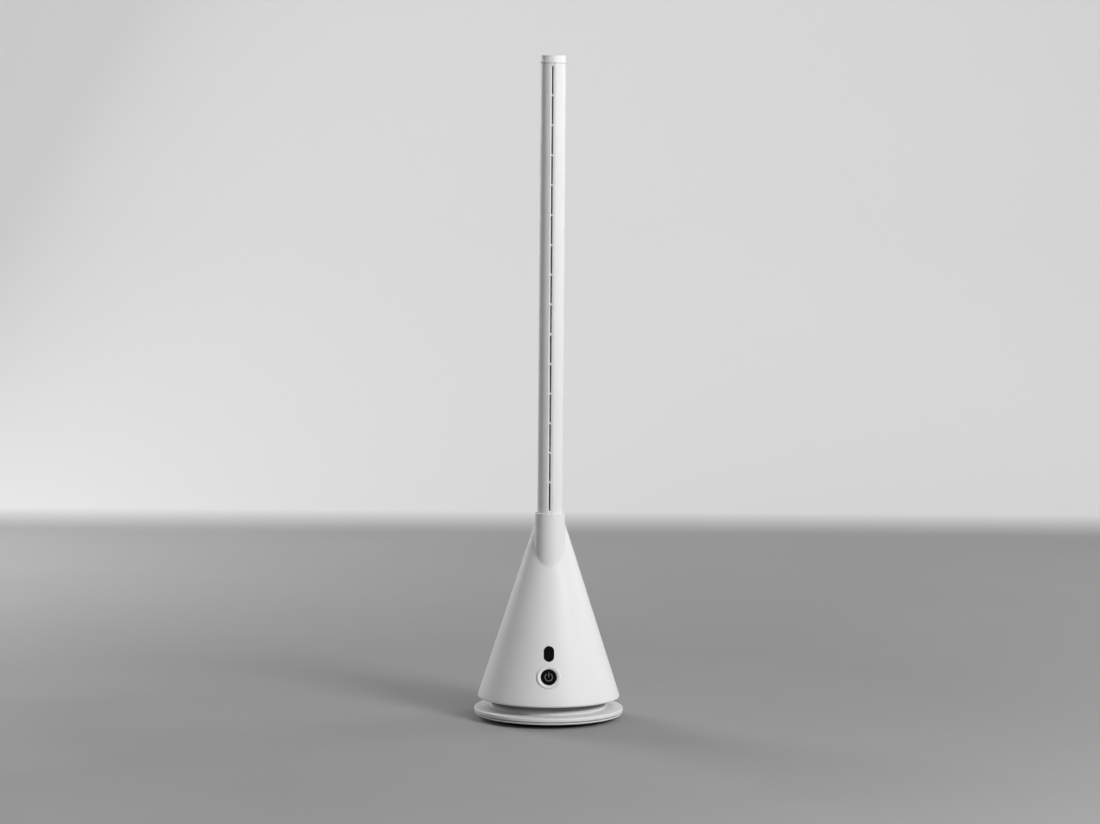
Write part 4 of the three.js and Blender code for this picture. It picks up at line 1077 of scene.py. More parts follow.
@dataclass
class BaseStack:
    """Foot ring, plinth, tray, top disc and neck."""

    rack: FinishRack
    foot: Flat = (79.0, 91.0)
    foot_top: float = 2.4
    groove: float = 0.8
    grooves: int = 3
    plinth_radius: float = 92.0
    plinth_top: float = 7.4
    plinth_step: float = 0.8
    screw_circle: float = 60.0
    screw_seat: float = 4.9
    counterbore: float = 4.1
    screw_hole: float = 2.2
    hole_facets: int = 40
    tray_radius: float = 114.0
    tray_top: float = 10.0
    tray_floor: float = 9.2
    tray_rim: float = 3.0
    disc_radius: float = 115.0
    disc_bottom: float = 11.9
    disc_top: float = 17.4
    disc_skin: float = 2.2
    disc_edge: float = 1.6
    skirt_inner: float = 112.4
    rib: Flat = (108.3, 110.7)
    rib_bottom: float = 9.7
    hub_radius: float = 16.0
    hub_top: float = 30.0
    hub_bore: float = 8.3
    neck_radius: float = 88.5
    neck_wall: float = 2.6
    neck_top: float = 35.2
    neck_flange: float = 79.5
    flange_thickness: float = 2.0
    facets: int = 320

    def build(self) -> None:
        """Builds the pieces from the floor up."""
        self._foot()
        self._plinth()
        self._tray()
        self._disc()
        self._neck()

    def _foot(self) -> None:
        """Rubber ring with three grooves underneath."""
        inner, outer = self.foot
        wide, deep = self.groove, self.groove
        corners: list[Corner] = [(outer, self.foot_top, 0.2), (inner, self.foot_top, 0.2)]
        corners.append((inner, 0, 0.5))
        for i in range(self.grooves):
            middle = inner + (outer - inner) * (i + 1) / (self.grooves + 1)
            corners += [(middle - wide, 0, 0.15), (middle - wide / 2, deep, 0.2)]
            corners += [(middle + wide / 2, deep, 0.2), (middle + wide, 0, 0.15)]
        corners.append((outer, 0, 0.5))
        piece = turned_ring("foot_tread", corners, self.facets)
        self.rack.hand_over(piece, Body.BASE, Slot.RUBBER, ["foot_ring"])

    def _plinth(self) -> None:
        """Black plate with counterbored screw holes and a moulded step underneath."""
        low = self.foot_top
        step = self.plinth_step
        inner = self.foot[0] - 3
        corners = [
            (0, low + step, 0),
            (22, low + step, 0.3),
            (22.8, low, 0.3),
            (inner, low, 0.3),
            (inner + 0.6, low + step / 2, 0.2),
            (inner + 1.8, low + step / 2, 0.2),
            (inner + 2.4, low, 0.2),
            (self.plinth_radius, low, 0.6),
            (self.plinth_radius, self.plinth_top, 0),
            (0, self.plinth_top, 0),
        ]
        piece = turned_solid("plinth_plate", corners, self.facets)
        holes = ((self.counterbore, self.screw_seat), (self.screw_hole, self.plinth_top + 1))
        for x, y in self.screw_places():
            for radius, top in holes:
                hole = circle(radius, self.hole_facets, x, y)
                carve(piece, pushed("counterbore", hole, top - low + 1, low - 1))
        soften(piece, 0.25, 60)
        self.rack.hand_over(piece, Body.BASE, Slot.BLACK, ["base_plinth"])

    def screw_places(self) -> list[Flat]:
        """Places of the four screws that hold the base together."""
        return arc(self.screw_circle, 45, 315, 3)

    def _tray(self) -> None:
        """Lower white shell with its rolled lower edge."""
        rim = self.tray_radius - self.tray_rim
        corners = [
            (0, self.plinth_top, 0),
            (self.tray_radius - 1, self.plinth_top, 0.8),
            (self.tray_radius, self.plinth_top + 1.2, 1.4),
            (self.tray_radius, self.tray_top, 0.25),
            (rim, self.tray_top, 0.25),
            (rim, self.tray_floor, 0),
            (0, self.tray_floor, 0),
        ]
        piece = turned_solid("tray_shell", corners, self.facets)
        self.rack.hand_over(piece, Body.BASE, Slot.WHITE, ["base_tray"])

    def _disc(self) -> None:
        """Top disc with its rounded edge, skirt, locating rib and pivot hub."""
        under = self.disc_top - self.disc_skin
        corners = [
            (self.hub_bore, under, 0),
            (self.rib[0], under, 0),
            (self.rib[0], self.rib_bottom, 0),
            (self.rib[1], self.rib_bottom, 0),
            (self.rib[1], under, 0),
            (self.skirt_inner, under, 0),
            (self.skirt_inner, self.disc_bottom, 0.2),
            (self.disc_radius, self.disc_bottom, 0.35),
            (self.disc_radius, self.disc_top, self.disc_edge),
            (self.hub_radius, self.disc_top, 0.8),
            (self.hub_radius, self.hub_top, 0.4),
            (self.hub_bore, self.hub_top, 0.3),
        ]
        piece = turned_ring("disc_cover", corners, self.facets)
        self.rack.hand_over(piece, Body.BASE, Slot.WHITE, ["base_top_disc"])

    def _neck(self) -> None:
        """Recessed neck that the housing turns round."""
        inner = self.neck_radius - self.neck_wall
        flange_top = self.disc_top + self.flange_thickness
        corners = [
            (self.neck_flange, self.disc_top, 0),
            (self.neck_radius, self.disc_top, 0.1),
            (self.neck_radius, self.neck_top, 0.6),
            (inner, self.neck_top, 0.6),
            (inner, flange_top, 0.6),
            (self.neck_flange, flange_top, 0.4),
        ]
        piece = turned_ring("neck_ring", corners, self.facets)
        # Its finish is white painted darker towards the top, a painted shade under the housing's
        # rim.
        self.rack.hand_over(piece, Body.BASE, Slot.WHITE, ["base_neck"], self.rack.shaded)


# ------------------------------------------------------------------ housing
@dataclass(frozen=True)
class Row:
    """One ring of points of the housing's skin."""

    radius: float
    height: float
    reach: Callable[[np.ndarray], np.ndarray]


@dataclass
class ConeHousing:
    """Conical housing with the tube's collar grown out of its front."""

    rack: FinishRack
    form: ConeForm
    rim_fillet: float = 2.4
    crown_edge: float = 0.6
    collar_start: float = 225.0
    socket_radius: float = 19.6
    socket_bottom: float = 285.0
    socket_wall: float = 2.6
    mouth_edge: float = 0.4
    row_step: float = 1.4
    plain_step: float = 12.0
    rim_band: float = 8.0
    crown_steps: int = 5
    mouth_steps: int = 3
    drawn_bore: float = 6.0
    sleeve_levels: tuple[float, ...] = (270.0, 255.0, 240.0)
    waist: float = 130.0
    smooth_angle: float = 35.0

    def build(self, openings: Sequence[Callable[[], bpy.types.Object]]) -> None:
        """Builds the housing.

        Args:
            openings: makers of the cutters that open it, one each.
        """
        rows = self._rows()
        piece = turned("cone_shell", [(row.radius, row.height) for row in rows], self.form.facets)
        self._shape(piece, rows)
        for opening in openings:
            carve(piece, opening())
        self.rack.hand_over(
            piece, Body.TOWER, Slot.WHITE, ["cone_housing"], smooth=self.smooth_angle
        )

    def _rows(self) -> list[Row]:
        """Rings of the closed section: up the outside, down the socket and the inside.

        Returns:
            The rings, in drawing order.
        """
        form = self.form
        wall = form.radial_wall
        low = form.rim_height + self.rim_band
        crown = form.top - self.crown_edge
        rows: list[Row] = []

        def plain(radius: float, height: float) -> None:
            """Adds a ring that stays round."""
            rows.append(Row(radius, height, lambda bearing: np.full_like(bearing, radius)))

        def skin(height: float, inset: float = 0.0) -> None:
            """Adds a ring on the skin of the cone and collar.

            Args:
                height: level of the ring.
                inset: how far inside the skin it lies.
            """
            rows.append(
                Row(
                    form.radius(height) - inset,
                    height,
                    lambda bearing: form.outer_reach(bearing, height, inset),
                )
            )

        def bore(radius: float, height: float, drawn: float) -> None:
            """Adds a ring about the tube's axis."""
            rows.append(Row(drawn, height, lambda bearing: form.circle_reach(bearing, radius)))

        def inside(height: float) -> None:
            """Adds a ring on the inside of the wall and round the socket.

            Args:
                height: level of the ring.
            """
            cone = form.radius(height) - wall
            sleeve = self.socket_radius + self.socket_wall
            rows.append(
                Row(
                    cone,
                    height,
                    lambda bearing: np.maximum(cone, form.circle_reach(bearing, sleeve)),
                )
            )

        rim = round_corners(
            [
                (form.radius(low) - wall, low, 0),
                (form.rim_radius - wall, form.rim_height, 0.5),
                (form.rim_radius, form.rim_height, self.rim_fillet),
                (form.radius(low), low, 0),
            ],
            closed=False,
        )
        for radius, height in rim[1:]:
            plain(radius, height)
        level = low + self.plain_step
        while level < self.collar_start:
            plain(form.radius(level), level)
            level += self.plain_step
        count = round((crown - self.collar_start) / self.row_step)
        for i in range(count + 1):
            skin(self.collar_start + (crown - self.collar_start) * i / count)
        for i in range(1, self.crown_steps + 1):
            angle = math.pi / 2 * i / self.crown_steps
            skin(
                form.top - self.crown_edge * (1 - math.sin(angle)),
                self.crown_edge * (1 - math.cos(angle)),
            )
        for i in range(self.mouth_steps + 1):
            angle = math.pi / 2 * i / self.mouth_steps
            edge = self.mouth_edge * (1 - math.sin(angle))
            drop = self.mouth_edge * (1 - math.cos(angle))
            bore(self.socket_radius + edge, form.top - drop, self.drawn_bore + edge)
        bore(self.socket_radius, self.socket_bottom, self.drawn_bore)
        levels = (self.socket_bottom, *self.sleeve_levels, self.collar_start, self.waist, low)
        for height in levels:
            inside(height)
        return rows

    def _shape(self, piece: bpy.types.Object, rows: Sequence[Row]) -> None:
        """Moves the points of the turned shell out to where their ring reaches.

        Args:
            piece: shell turned from the rows as they were drawn.
            rows: the rings that it consists of.
        """
        mesh = piece.data
        places = np.empty(len(mesh.vertices) * 3)
        mesh.vertices.foreach_get("co", places)
        places = places.reshape(-1, 3) / MM
        radii = np.hypot(places[:, 0], places[:, 1])
        bearings = np.arctan2(places[:, 1], places[:, 0])
        drawn = np.array([(row.radius, row.height) for row in rows])
        distances = np.abs(radii[:, None] - drawn[:, 0]) + np.abs(places[:, 2:] - drawn[:, 1])
        nearest = distances.argmin(axis=1)
        for i, row in enumerate(rows):
            mine = nearest == i
            reach = row.reach(bearings[mine])
            places[mine, 0] = reach * np.cos(bearings[mine])
            places[mine, 1] = reach * np.sin(bearings[mine])
        mesh.vertices.foreach_set("co", (places * MM).ravel())
        mesh.update()


@dataclass
class FrontPanel:
    """Display lens, button ring and power button on the front line of the cone."""

    rack: FinishRack
    form: ConeForm
    display_height: float = 112.0
    display_size: Flat = (15.5, 24.0)
    display_thickness: float = 1.8
    display_reach: float = 16.0
    display_edge: float = 0.35
    button_height: float = 78.0
    button_radius: float = 12.2
    button_thickness: float = 3.0
    button_sink: float = 0.3
    stem_radius: float = 4.0
    stem_length: float = 5.0
    bezel_radius: float = 18.5
    bezel_crest: Flat = (16.4, 0.7)
    bezel_depth: float = 7.0
    sleeve_wall: float = 1.8
    gap: float = 0.3
    bezel_gap: float = 0.1
    symbol_radius: float = 5.7
    symbol_stroke: float = 0.9
    symbol_gap: float = 70.0
    symbol_bar: Flat = (0.2, 7.0)
    symbol_sink: float = 0.05
    symbol_rise: float = 0.03
    opening_depth: float = 10.0
    facets: int = 144

    def display_opening(self) -> bpy.types.Object:
        """Cutter of the display's opening in the housing.

        Returns:
            The cutter, in its place.
        """
        width, length = self.display_size
        outline = pill(width + 2 * self.gap, length + 2 * self.gap)
        return punch("display_opening", outline, self._place(self.display_height))

    def button_opening(self) -> bpy.types.Object:
        """Cutter of the button ring's opening in the housing.

        Returns:
            The cutter, in its place.
        """
        outline = circle(self.bezel_radius + self.bezel_gap, self.facets)
        place = self._place(self.button_height)
        return punch("button_opening", outline, place, below=self.opening_depth)

    def _place(self, height: float) -> Matrix:
        """Frame on the front line of the cone at a height."""
        return self.form.on_cone(Side.FRONT, height)

    def build(self) -> None:
        """Builds the pieces of the panel."""
        self._display()
        self._bezel()
        self._button()
        self._symbol()

    def _display(self) -> None:
        """Pill-shaped lens that follows the cone."""
        height, reach = self.display_height, self.display_reach
        lens = self.form.shell_ring(
            "display_lens", self.display_thickness, height - reach, height + reach
        )
        shape = punch("display_shape", pill(*self.display_size), self._place(height))
        carve(lens, shape, Carving.KEEP)
        soften(lens, self.display_edge, 50, 3)
        self.rack.hand_over(lens, Body.TOWER, Slot.GLOSS, ["display_window"])

    def _bezel(self) -> None:
        """Raised ring: a wide slope down to the button and a narrow one to the cone."""
        inner = self.button_radius + self.gap
        sleeve = inner + self.sleeve_wall
        crest, height = self.bezel_crest
        corners = [
            (inner, -self.bezel_depth, 0.2),
            (sleeve, -self.bezel_depth, 0.2),
            (sleeve, -self.form.wall, 0),
            (self.bezel_radius, -self.form.wall, 0),
            (self.bezel_radius, -0.5, 0.5),
            (crest, height + 0.12, 0.9),
            (inner, -self.button_sink, 0.25),
        ]
        ring = turned_ring("bezel_ring", corners, self.facets)
        settle(ring, self._place(self.button_height))
        self.rack.hand_over(ring, Body.TOWER, Slot.WHITE, ["button_bezel"])

    def _button(self) -> None:
        """Gloss disc with a rolled edge, on its stem."""
        back = self.button_sink + self.button_thickness
        corners = [
            (0, -back - self.stem_length, 0),
            (self.stem_radius, -back - self.stem_length, 0.4),
            (self.stem_radius, -back, 0.3),
            (self.button_radius, -back, 0.3),
            (self.button_radius, -self.button_sink, 0.55),
            (0, -self.button_sink, 0),
        ]
        disc = turned_solid("button_disc", corners, self.facets)
        settle(disc, self._place(self.button_height))
        self.rack.hand_over(disc, Body.BUTTON, Slot.GLOSS, ["power_button"])

    def _symbol(self) -> None:
        """Printed power sign, a hair proud of the button's face."""
        low = -self.button_sink - self.symbol_sink
        high = -self.button_sink + self.symbol_rise
        half = self.symbol_stroke / 2
        section = rectangle(self.symbol_radius - half, self.symbol_radius + half, low, high)
        ring = turned("button_symbol", section, self.facets // 2, sweep=360 - self.symbol_gap)
        settle(ring, Matrix.Rotation(math.radians(90 - self.symbol_gap / 2), 4, "Z"))
        outline = rectangle(-half, half, *self.symbol_bar, 0.2)
        bar = pushed("symbol_bar", outline, self.symbol_sink + self.symbol_rise, low)
        sign = joined([ring, bar])
        settle(sign, self._place(self.button_height))
        self.rack.hand_over(sign, Body.BUTTON, Slot.GREY, material=self.rack.ink)


@dataclass
class RearIntake:
    """Slotted intake let into the back of the cone, and the power inlet under it."""

    rack: FinishRack
    form: ConeForm
    low: float = 66.0
    high: float = 190.0
    base_half: float = 74.03
    top_half: float = 40.99
    corner: float = 9.0
    corner_share: float = 0.8
    margin: float = 4.0
    thickness: float = 2.2
    border: float = 6.0
    band: float = 5.0
    rows: int = 2
    slots: int = 19
    open_share: float = 0.52
    slot_roundness: float = 0.95
    gap: float = 0.3
    inlet_height: float = 52.0
    inlet_radius: float = 7.0
    inlet_depth: float = 12.0
    inlet_flange: float = 8.6
    inlet_bore: float = 3.4
    inlet_bore_depth: float = 9.0
    inlet_facets: int = 64
    flange_height: float = 1.0
    pin_radius: float = 1.05
    pin_facets: int = 32

    def _field(self, grow: float) -> list[Flat]:
        """Outline of the intake seen from the back.

        Args:
            grow: how far it is grown on every side, in mm.

        Returns:
            Points along the outline.
        """
        base, top = self.base_half + grow, self.top_half + grow
        low, high = self.low - grow, self.high + grow
        fillet = (self.corner + grow) * self.corner_share
        return round_corners(
            [(-base, low, fillet), (base, low, fillet), (top, high, fillet), (-top, high, fillet)]
        )

    def _rear_prism(self, name: str, outline: Sequence[Flat]) -> bpy.types.Object:
        """Prism from the fan's axis backwards.

        Args:
            name: name of the new piece.
            outline: outline with X across and Z up, in mm.

        Returns:
            The prism.
        """
        prism = pushed(name, outline, self.form.rim_radius + self.margin)
        upright = Matrix(((1, 0, 0, 0), (0, 0, 1, 0), (0, 1, 0, 0), (0, 0, 0, 1)))
        settle(prism, upright)
        select_only(prism)
        bpy.ops.object.mode_set(mode="EDIT")
        tidy_surface()
        leave_edit_mode()
        return prism

    def field_opening(self) -> bpy.types.Object:
        """Cutter of the intake's opening in the housing."""
        return self._rear_prism("field_opening", self._field(self.gap))

    def inlet_opening(self) -> bpy.types.Object:
        """Cutter of the power inlet's opening in the housing."""
        outline = circle(self.inlet_radius + self.gap, self.inlet_facets)
        return punch("inlet_opening", outline, self._inlet_place())

    def _inlet_place(self) -> Matrix:
        """Frame on the back line of the cone at the inlet."""
        return self.form.on_cone(Side.BACK, self.inlet_height)

    def build(self) -> None:
        """Builds the louvre and the inlet."""
        self._louvre()
        self._inlet()

    def _half_at(self, height: float) -> float:
        """Half width of the slotted field at a height."""
        share = (height - self.low) / (self.high - self.low)
        return self.base_half + (self.top_half - self.base_half) * share - self.border

    def _slot(self, index: int, low: float, high: float) -> bpy.types.Object:
        """Cutter of one slot that leans in with the cone.

        Args:
            index: number of the slot in its row.
            low: lower end of the row.
            high: upper end of the row.

        Returns:
            The cutter.
        """
        place = (2 * index + 1) / self.slots - 1
        half = self.open_share / self.slots
        below, above = self._half_at(low), self._half_at(high)
        lower, upper = (half * reach * self.slot_roundness for reach in (below, above))
        outline = round_corners(
            [
                ((place - half) * below, low, lower),
                ((place + half) * below, low, lower),
                ((place + half) * above, high, upper),
                ((place - half) * above, high, upper),
            ]
        )
        return self._rear_prism("slot", outline)

    def _louvre(self) -> None:
        """Curved panel with its rows of converging slots."""
        panel = self.form.shell_ring(
            "intake_louvre", self.thickness, self.low - self.margin, self.high + self.margin
        )
        carve(panel, self._rear_prism("louvre_shape", self._field(0)), Carving.KEEP)
        room = self.high - self.low - 2 * self.border - (self.rows - 1) * self.band
        length = room / self.rows
        cutters = []
        for row in range(self.rows):
            low = self.low + self.border + row * (length + self.band)
            cutters += [self._slot(i, low, low + length) for i in range(self.slots)]
        carve(panel, joined(cutters))
        soften(panel, 0.3, 40)
        self.rack.hand_over(panel, Body.TOWER, Slot.WHITE, ["intake_grille"])

    def _inlet(self) -> None:
        """Low-voltage socket: a flanged barrel with its bore, and the pin in it."""
        top = self.gap + self.flange_height
        corners = [
            (0, -self.inlet_depth, 0),
            (self.inlet_radius, -self.inlet_depth, 0.4),
            (self.inlet_radius, self.gap, 0),
            (self.inlet_flange, self.gap, 0.15),
            (self.inlet_flange, top, 0.5),
            (self.inlet_bore, top, 0.4),
            (self.inlet_bore, top - self.inlet_bore_depth, 0),
            (0, top - self.inlet_bore_depth, 0),
        ]
        barrel = turned_solid("inlet_barrel", corners, self.inlet_facets)
        settle(barrel, self._inlet_place())
        self.rack.hand_over(barrel, Body.TOWER, Slot.BLACK, ["power_inlet"])
        corners = [
            (0, -self.inlet_bore_depth, 0),
            (self.pin_radius, -self.inlet_bore_depth, 0),
            (self.pin_radius, -self.gap, 0.4),
            (0, -self.gap, 0),
        ]
        pin = turned_solid("inlet_pin", corners, self.pin_facets)
        settle(pin, self._inlet_place())
        self.rack.hand_over(pin, Body.TOWER, Slot.STEEL)


@dataclass
class TurningFloor:
    """Floor of the housing, seen from below round the neck."""

    rack: FinishRack
    form: ConeForm
    bottom: float = 36.0
    thickness: float = 2.6
    hub_radius: float = 21.0
    hub_bottom: float = 32.7
    hub_top: float = 46.0
    bore: float = 8.3
    screw_circle: float = 97.12
    screw_angles: tuple[float, ...] = (20.0, 160.0, 200.0, 340.0)
    gap: float = 0.3

    def build(self) -> None:
        """Builds the floor plate with its hub."""
        top = self.bottom + self.thickness
        inset = self.form.radial_wall + self.gap
        corners = [
            (self.bore, self.hub_bottom, 0.2),
            (self.hub_radius, self.hub_bottom, 0.3),
            (self.hub_radius, self.bottom, 0.8),
            (self.form.radius(self.bottom) - inset, self.bottom, 0.3),
            (self.form.radius(top) - inset, top, 0.2),
            (self.hub_radius, top, 0.8),
            (self.hub_radius, self.hub_top, 0.3),
            (self.bore, self.hub_top, 0.2),
        ]
        piece = turned_ring("turning_floor", corners, self.form.facets)
        self.rack.hand_over(piece, Body.TOWER, Slot.INNER, ["tower_floor"])

    def screw_places(self) -> list[Flat]:
        """Places of the screws that hold the housing on the floor."""
        angles = [math.radians(angle) for angle in self.screw_angles]
        return [(self.screw_circle * math.cos(a), self.screw_circle * math.sin(a)) for a in angles]


# ------------------------------------------------------------------ air tube
@dataclass
class AirTube:
    """Standing tube, the slotted strip let into its front, and its cap."""

    rack: FinishRack
    offset: float = 19.0
    turn: float = -3.0
    radius: float = 19.3
    bore: float = 17.3
    bottom: float = 287.0
    top: float = 1007.0
    overall: float = 1020.0
    strip_bottom: float = 309.0
    strip_width: float = 8.3
    strip_gap: float = 0.3
    channel_gap: float = 0.12
    channel_edge: float = 0.25
    strip_edge: float = 0.18
    front_steps: int = 14
    back_steps: int = 12
    flange_width: float = 13.0
    flange_radius: float = 17.0
    flange_back: float = 15.6
    slot_count: int = 15
    slot_width: float = 2.2
    first_slot: float = 1004.7
    pitch: float = 45.38
    tab: float = 3.6
    bevel_depth: float = 0.9
    flat_edge: float = 0.5
    slot_edge: float = 0.2
    slot_inside: float = 2.0
    slot_overrun: float = 1.5
    rim_height: float = 4.0
    rim_flank: float = 2.3
    seam: Flat = (1.0, 0.8)
    rim_radius: float = 20.2
    cap_radius: float = 19.0
    cap_edge: float = 1.2
    plug_wall: float = 2.0
    plug_length: float = 12.0
    notch_side: float = 1.5
    notch_span: Flat = (-1.0, 3.0)
    notch_height: float = 13.0
    notch_drop: float = 14.0
    facets: int = 192

    def build(self) -> None:
        """Builds the three pieces."""
        self._tube()
        self._strip()
        self._cap()

    def _on_tube(self, piece: bpy.types.Object) -> None:
        """Turns a piece about the tube's axis and sets it in the collar."""
        turn = Matrix.Rotation(math.radians(self.turn), 4, "Z")
        settle(piece, Matrix.Translation(Vector((0, -self.offset, 0)) * MM) @ turn)

    def _tube(self) -> None:
        """Tube wall with its channel down the front."""
        half = self.strip_width / 2 + self.channel_gap
        outer, inner = (math.degrees(math.asin(half / r)) for r in (self.radius, self.bore))
        outside = arc(self.radius, -90 + outer, 270 - outer, self.facets)
        inside = arc(self.bore, 270 - inner, -90 + inner, self.facets)
        corners: list[Corner] = [(x, y, 0) for x, y in outside + inside]
        for i in (0, len(outside) - 1):
            corners[i] = (*outside[i], self.channel_edge)
        piece = pushed("tube_wall", round_corners(corners), self.top - self.bottom, self.bottom)
        self._on_tube(piece)
        self.rack.hand_over(piece, Body.TOWER, Slot.WHITE, ["tube_shell"])

    def _slot_cutter(self) -> bpy.types.Object:
        """Cutter of one slot with its four bevels, centred at height 0.

        Returns:
            The cutter.
        """
        back = -(self.flange_back - self.slot_inside)
        floor = -(self.radius - self.bevel_depth)
        spread = (self.strip_width / 2 - self.flat_edge - self.slot_width / 2) / self.bevel_depth
        rise = self.bevel_depth + self.slot_overrun
        length = self.pitch - self.tab
        grow = 2 * spread * rise
        select_none()
        bpy.ops.mesh.primitive_plane_add(size=MM, rotation=(math.pi / 2, 0, 0))
        cutter = bpy.context.object
        name_piece(cutter, "slot_cutter")
        bpy.ops.object.transform_apply(location=True, rotation=True, scale=True)
        bpy.ops.object.mode_set(mode="EDIT")
        bpy.ops.mesh.select_all(action="SELECT")
        bpy.ops.transform.resize(value=(self.slot_width, 1, length), center_override=(0, 0, 0))
        bpy.ops.transform.translate(value=(0, back * MM, 0))
        for depth, width, height in (
            (floor - back, 1, 1),
            (-rise, 1 + grow / self.slot_width, 1 + grow / length),
        ):
            bpy.ops.mesh.extrude_region_move(TRANSFORM_OT_translate={"value": (0, depth * MM, 0)})
            bpy.ops.transform.resize(value=(width, 1, height), center_override=(0, 0, 0))
        tidy_surface()
        leave_edit_mode()
        soften(cutter, self.slot_edge, 25)
        return cutter

    def _strip(self) -> None:
        """Strip with its hidden flanges and its row of bevelled slots."""
        half, flange = self.strip_width / 2, self.flange_width / 2

        def across(radius: float, reach: float, steps: int) -> list[Flat]:
            """Points on an arc about the tube's axis from -reach to reach in X."""
            angle = math.degrees(math.asin(reach / radius))
            return arc(radius, -90 - angle, -90 + angle, steps)

        front = across(self.radius, half, self.front_steps)
        shoulder = across(self.flange_radius, half, 1)
        ends = across(self.flange_radius, flange, 1)
        back = list(reversed(across(self.flange_back, flange, self.back_steps)))
        corners: list[Corner] = [(x, y, 0) for x, y in front]
        for i in (0, -1):
            corners[i] = (*front[i], self.strip_edge)
        corners += [(*shoulder[1], 0), (*ends[1], 0)]
        corners += [(x, y, 0) for x, y in back]
        corners += [(*ends[0], 0), (*shoulder[0], 0)]
        height = self.top - self.strip_bottom
        piece = pushed("slotted_nozzle", round_corners(corners), height, self.strip_bottom)
        master = self._slot_cutter()
        for parity in (0, 1):
            cutters = []
            for i in range(parity, self.slot_count, 2):
                cutter = copy_piece(master, f"window_{i}")
                centre = self.first_slot - (i + 0.5) * self.pitch
                settle(cutter, Matrix.Translation(Vector((0, 0, centre)) * MM))
                cutters.append(cutter)
            carve(piece, joined(cutters))
        bpy.data.objects.remove(master)
        self._on_tube(piece)
        self.rack.hand_over(piece, Body.TOWER, Slot.WHITE, ["nozzle_strip"])

    def _cap(self) -> None:
        """Cap with its overhanging rim and the plug that holds it."""
        plug = self.flange_back - self.strip_gap
        plug_end = self.top - self.plug_length
        rim_top = self.top + self.rim_height
        groove, seam_top = self.radius - self.seam[0], self.top + self.seam[1]
        corners = [
            (0, self.top, 0),
            (plug - self.plug_wall, self.top, 0),
            (plug - self.plug_wall, plug_end, 0.2),
            (plug, plug_end, 0.4),
            (plug, self.top, 0),
            (groove, self.top, 0),
            (groove, seam_top, 0.1),
            (self.radius + 0.2, seam_top, 0.1),
            (self.rim_radius, self.top + self.rim_flank, 0.3),
            (self.rim_radius, rim_top, 0.5),
            (self.cap_radius, rim_top, 0.15),
            (self.cap_radius, self.overall, self.cap_edge),
            (0, self.overall, 0),
        ]
        piece = turned_solid("cap_lid", corners, self.facets)
        reach = self.slot_width / 2 + self.notch_side
        near, far = (offset - plug for offset in self.notch_span)
        outline = rectangle(-reach, reach, near, far)
        notch = pushed("plug_notch", outline, self.notch_height, self.top - self.notch_drop)
        carve(piece, notch)
        self._on_tube(piece)
        self.rack.hand_over(piece, Body.TOWER, Slot.WHITE, ["tube_cap"])


# ------------------------------------------------------------------ studio
@dataclass(frozen=True)
class SoftLight:
    """Large soft lamp aimed at the middle of the fan."""

    name: str
    bearing: float
    rise: float
    distance: float
    width: float
    height: float
    watts: float
    aim: float = 0.5

    def build(self) -> None:
        """Hangs the lamp; bearing 0 is in front of the fan and 90 to its right."""
        data = bpy.data.lights.new(self.name, "AREA")
        data.shape = "RECTANGLE"
        data.size = self.width
        data.size_y = self.height
        data.energy = self.watts
        lamp = bpy.data.objects.new(self.name, data)
        bpy.context.scene.collection.objects.link(lamp)
        turn, tilt = math.radians(self.bearing), math.radians(self.rise)
        out = Vector(
            (math.sin(turn) * math.cos(tilt), -math.cos(turn) * math.cos(tilt), math.sin(tilt))
        )
        lamp.location = Vector((0, 0, self.aim)) + out * self.distance
        lamp.rotation_euler = out.to_track_quat("Z", "Y").to_euler()


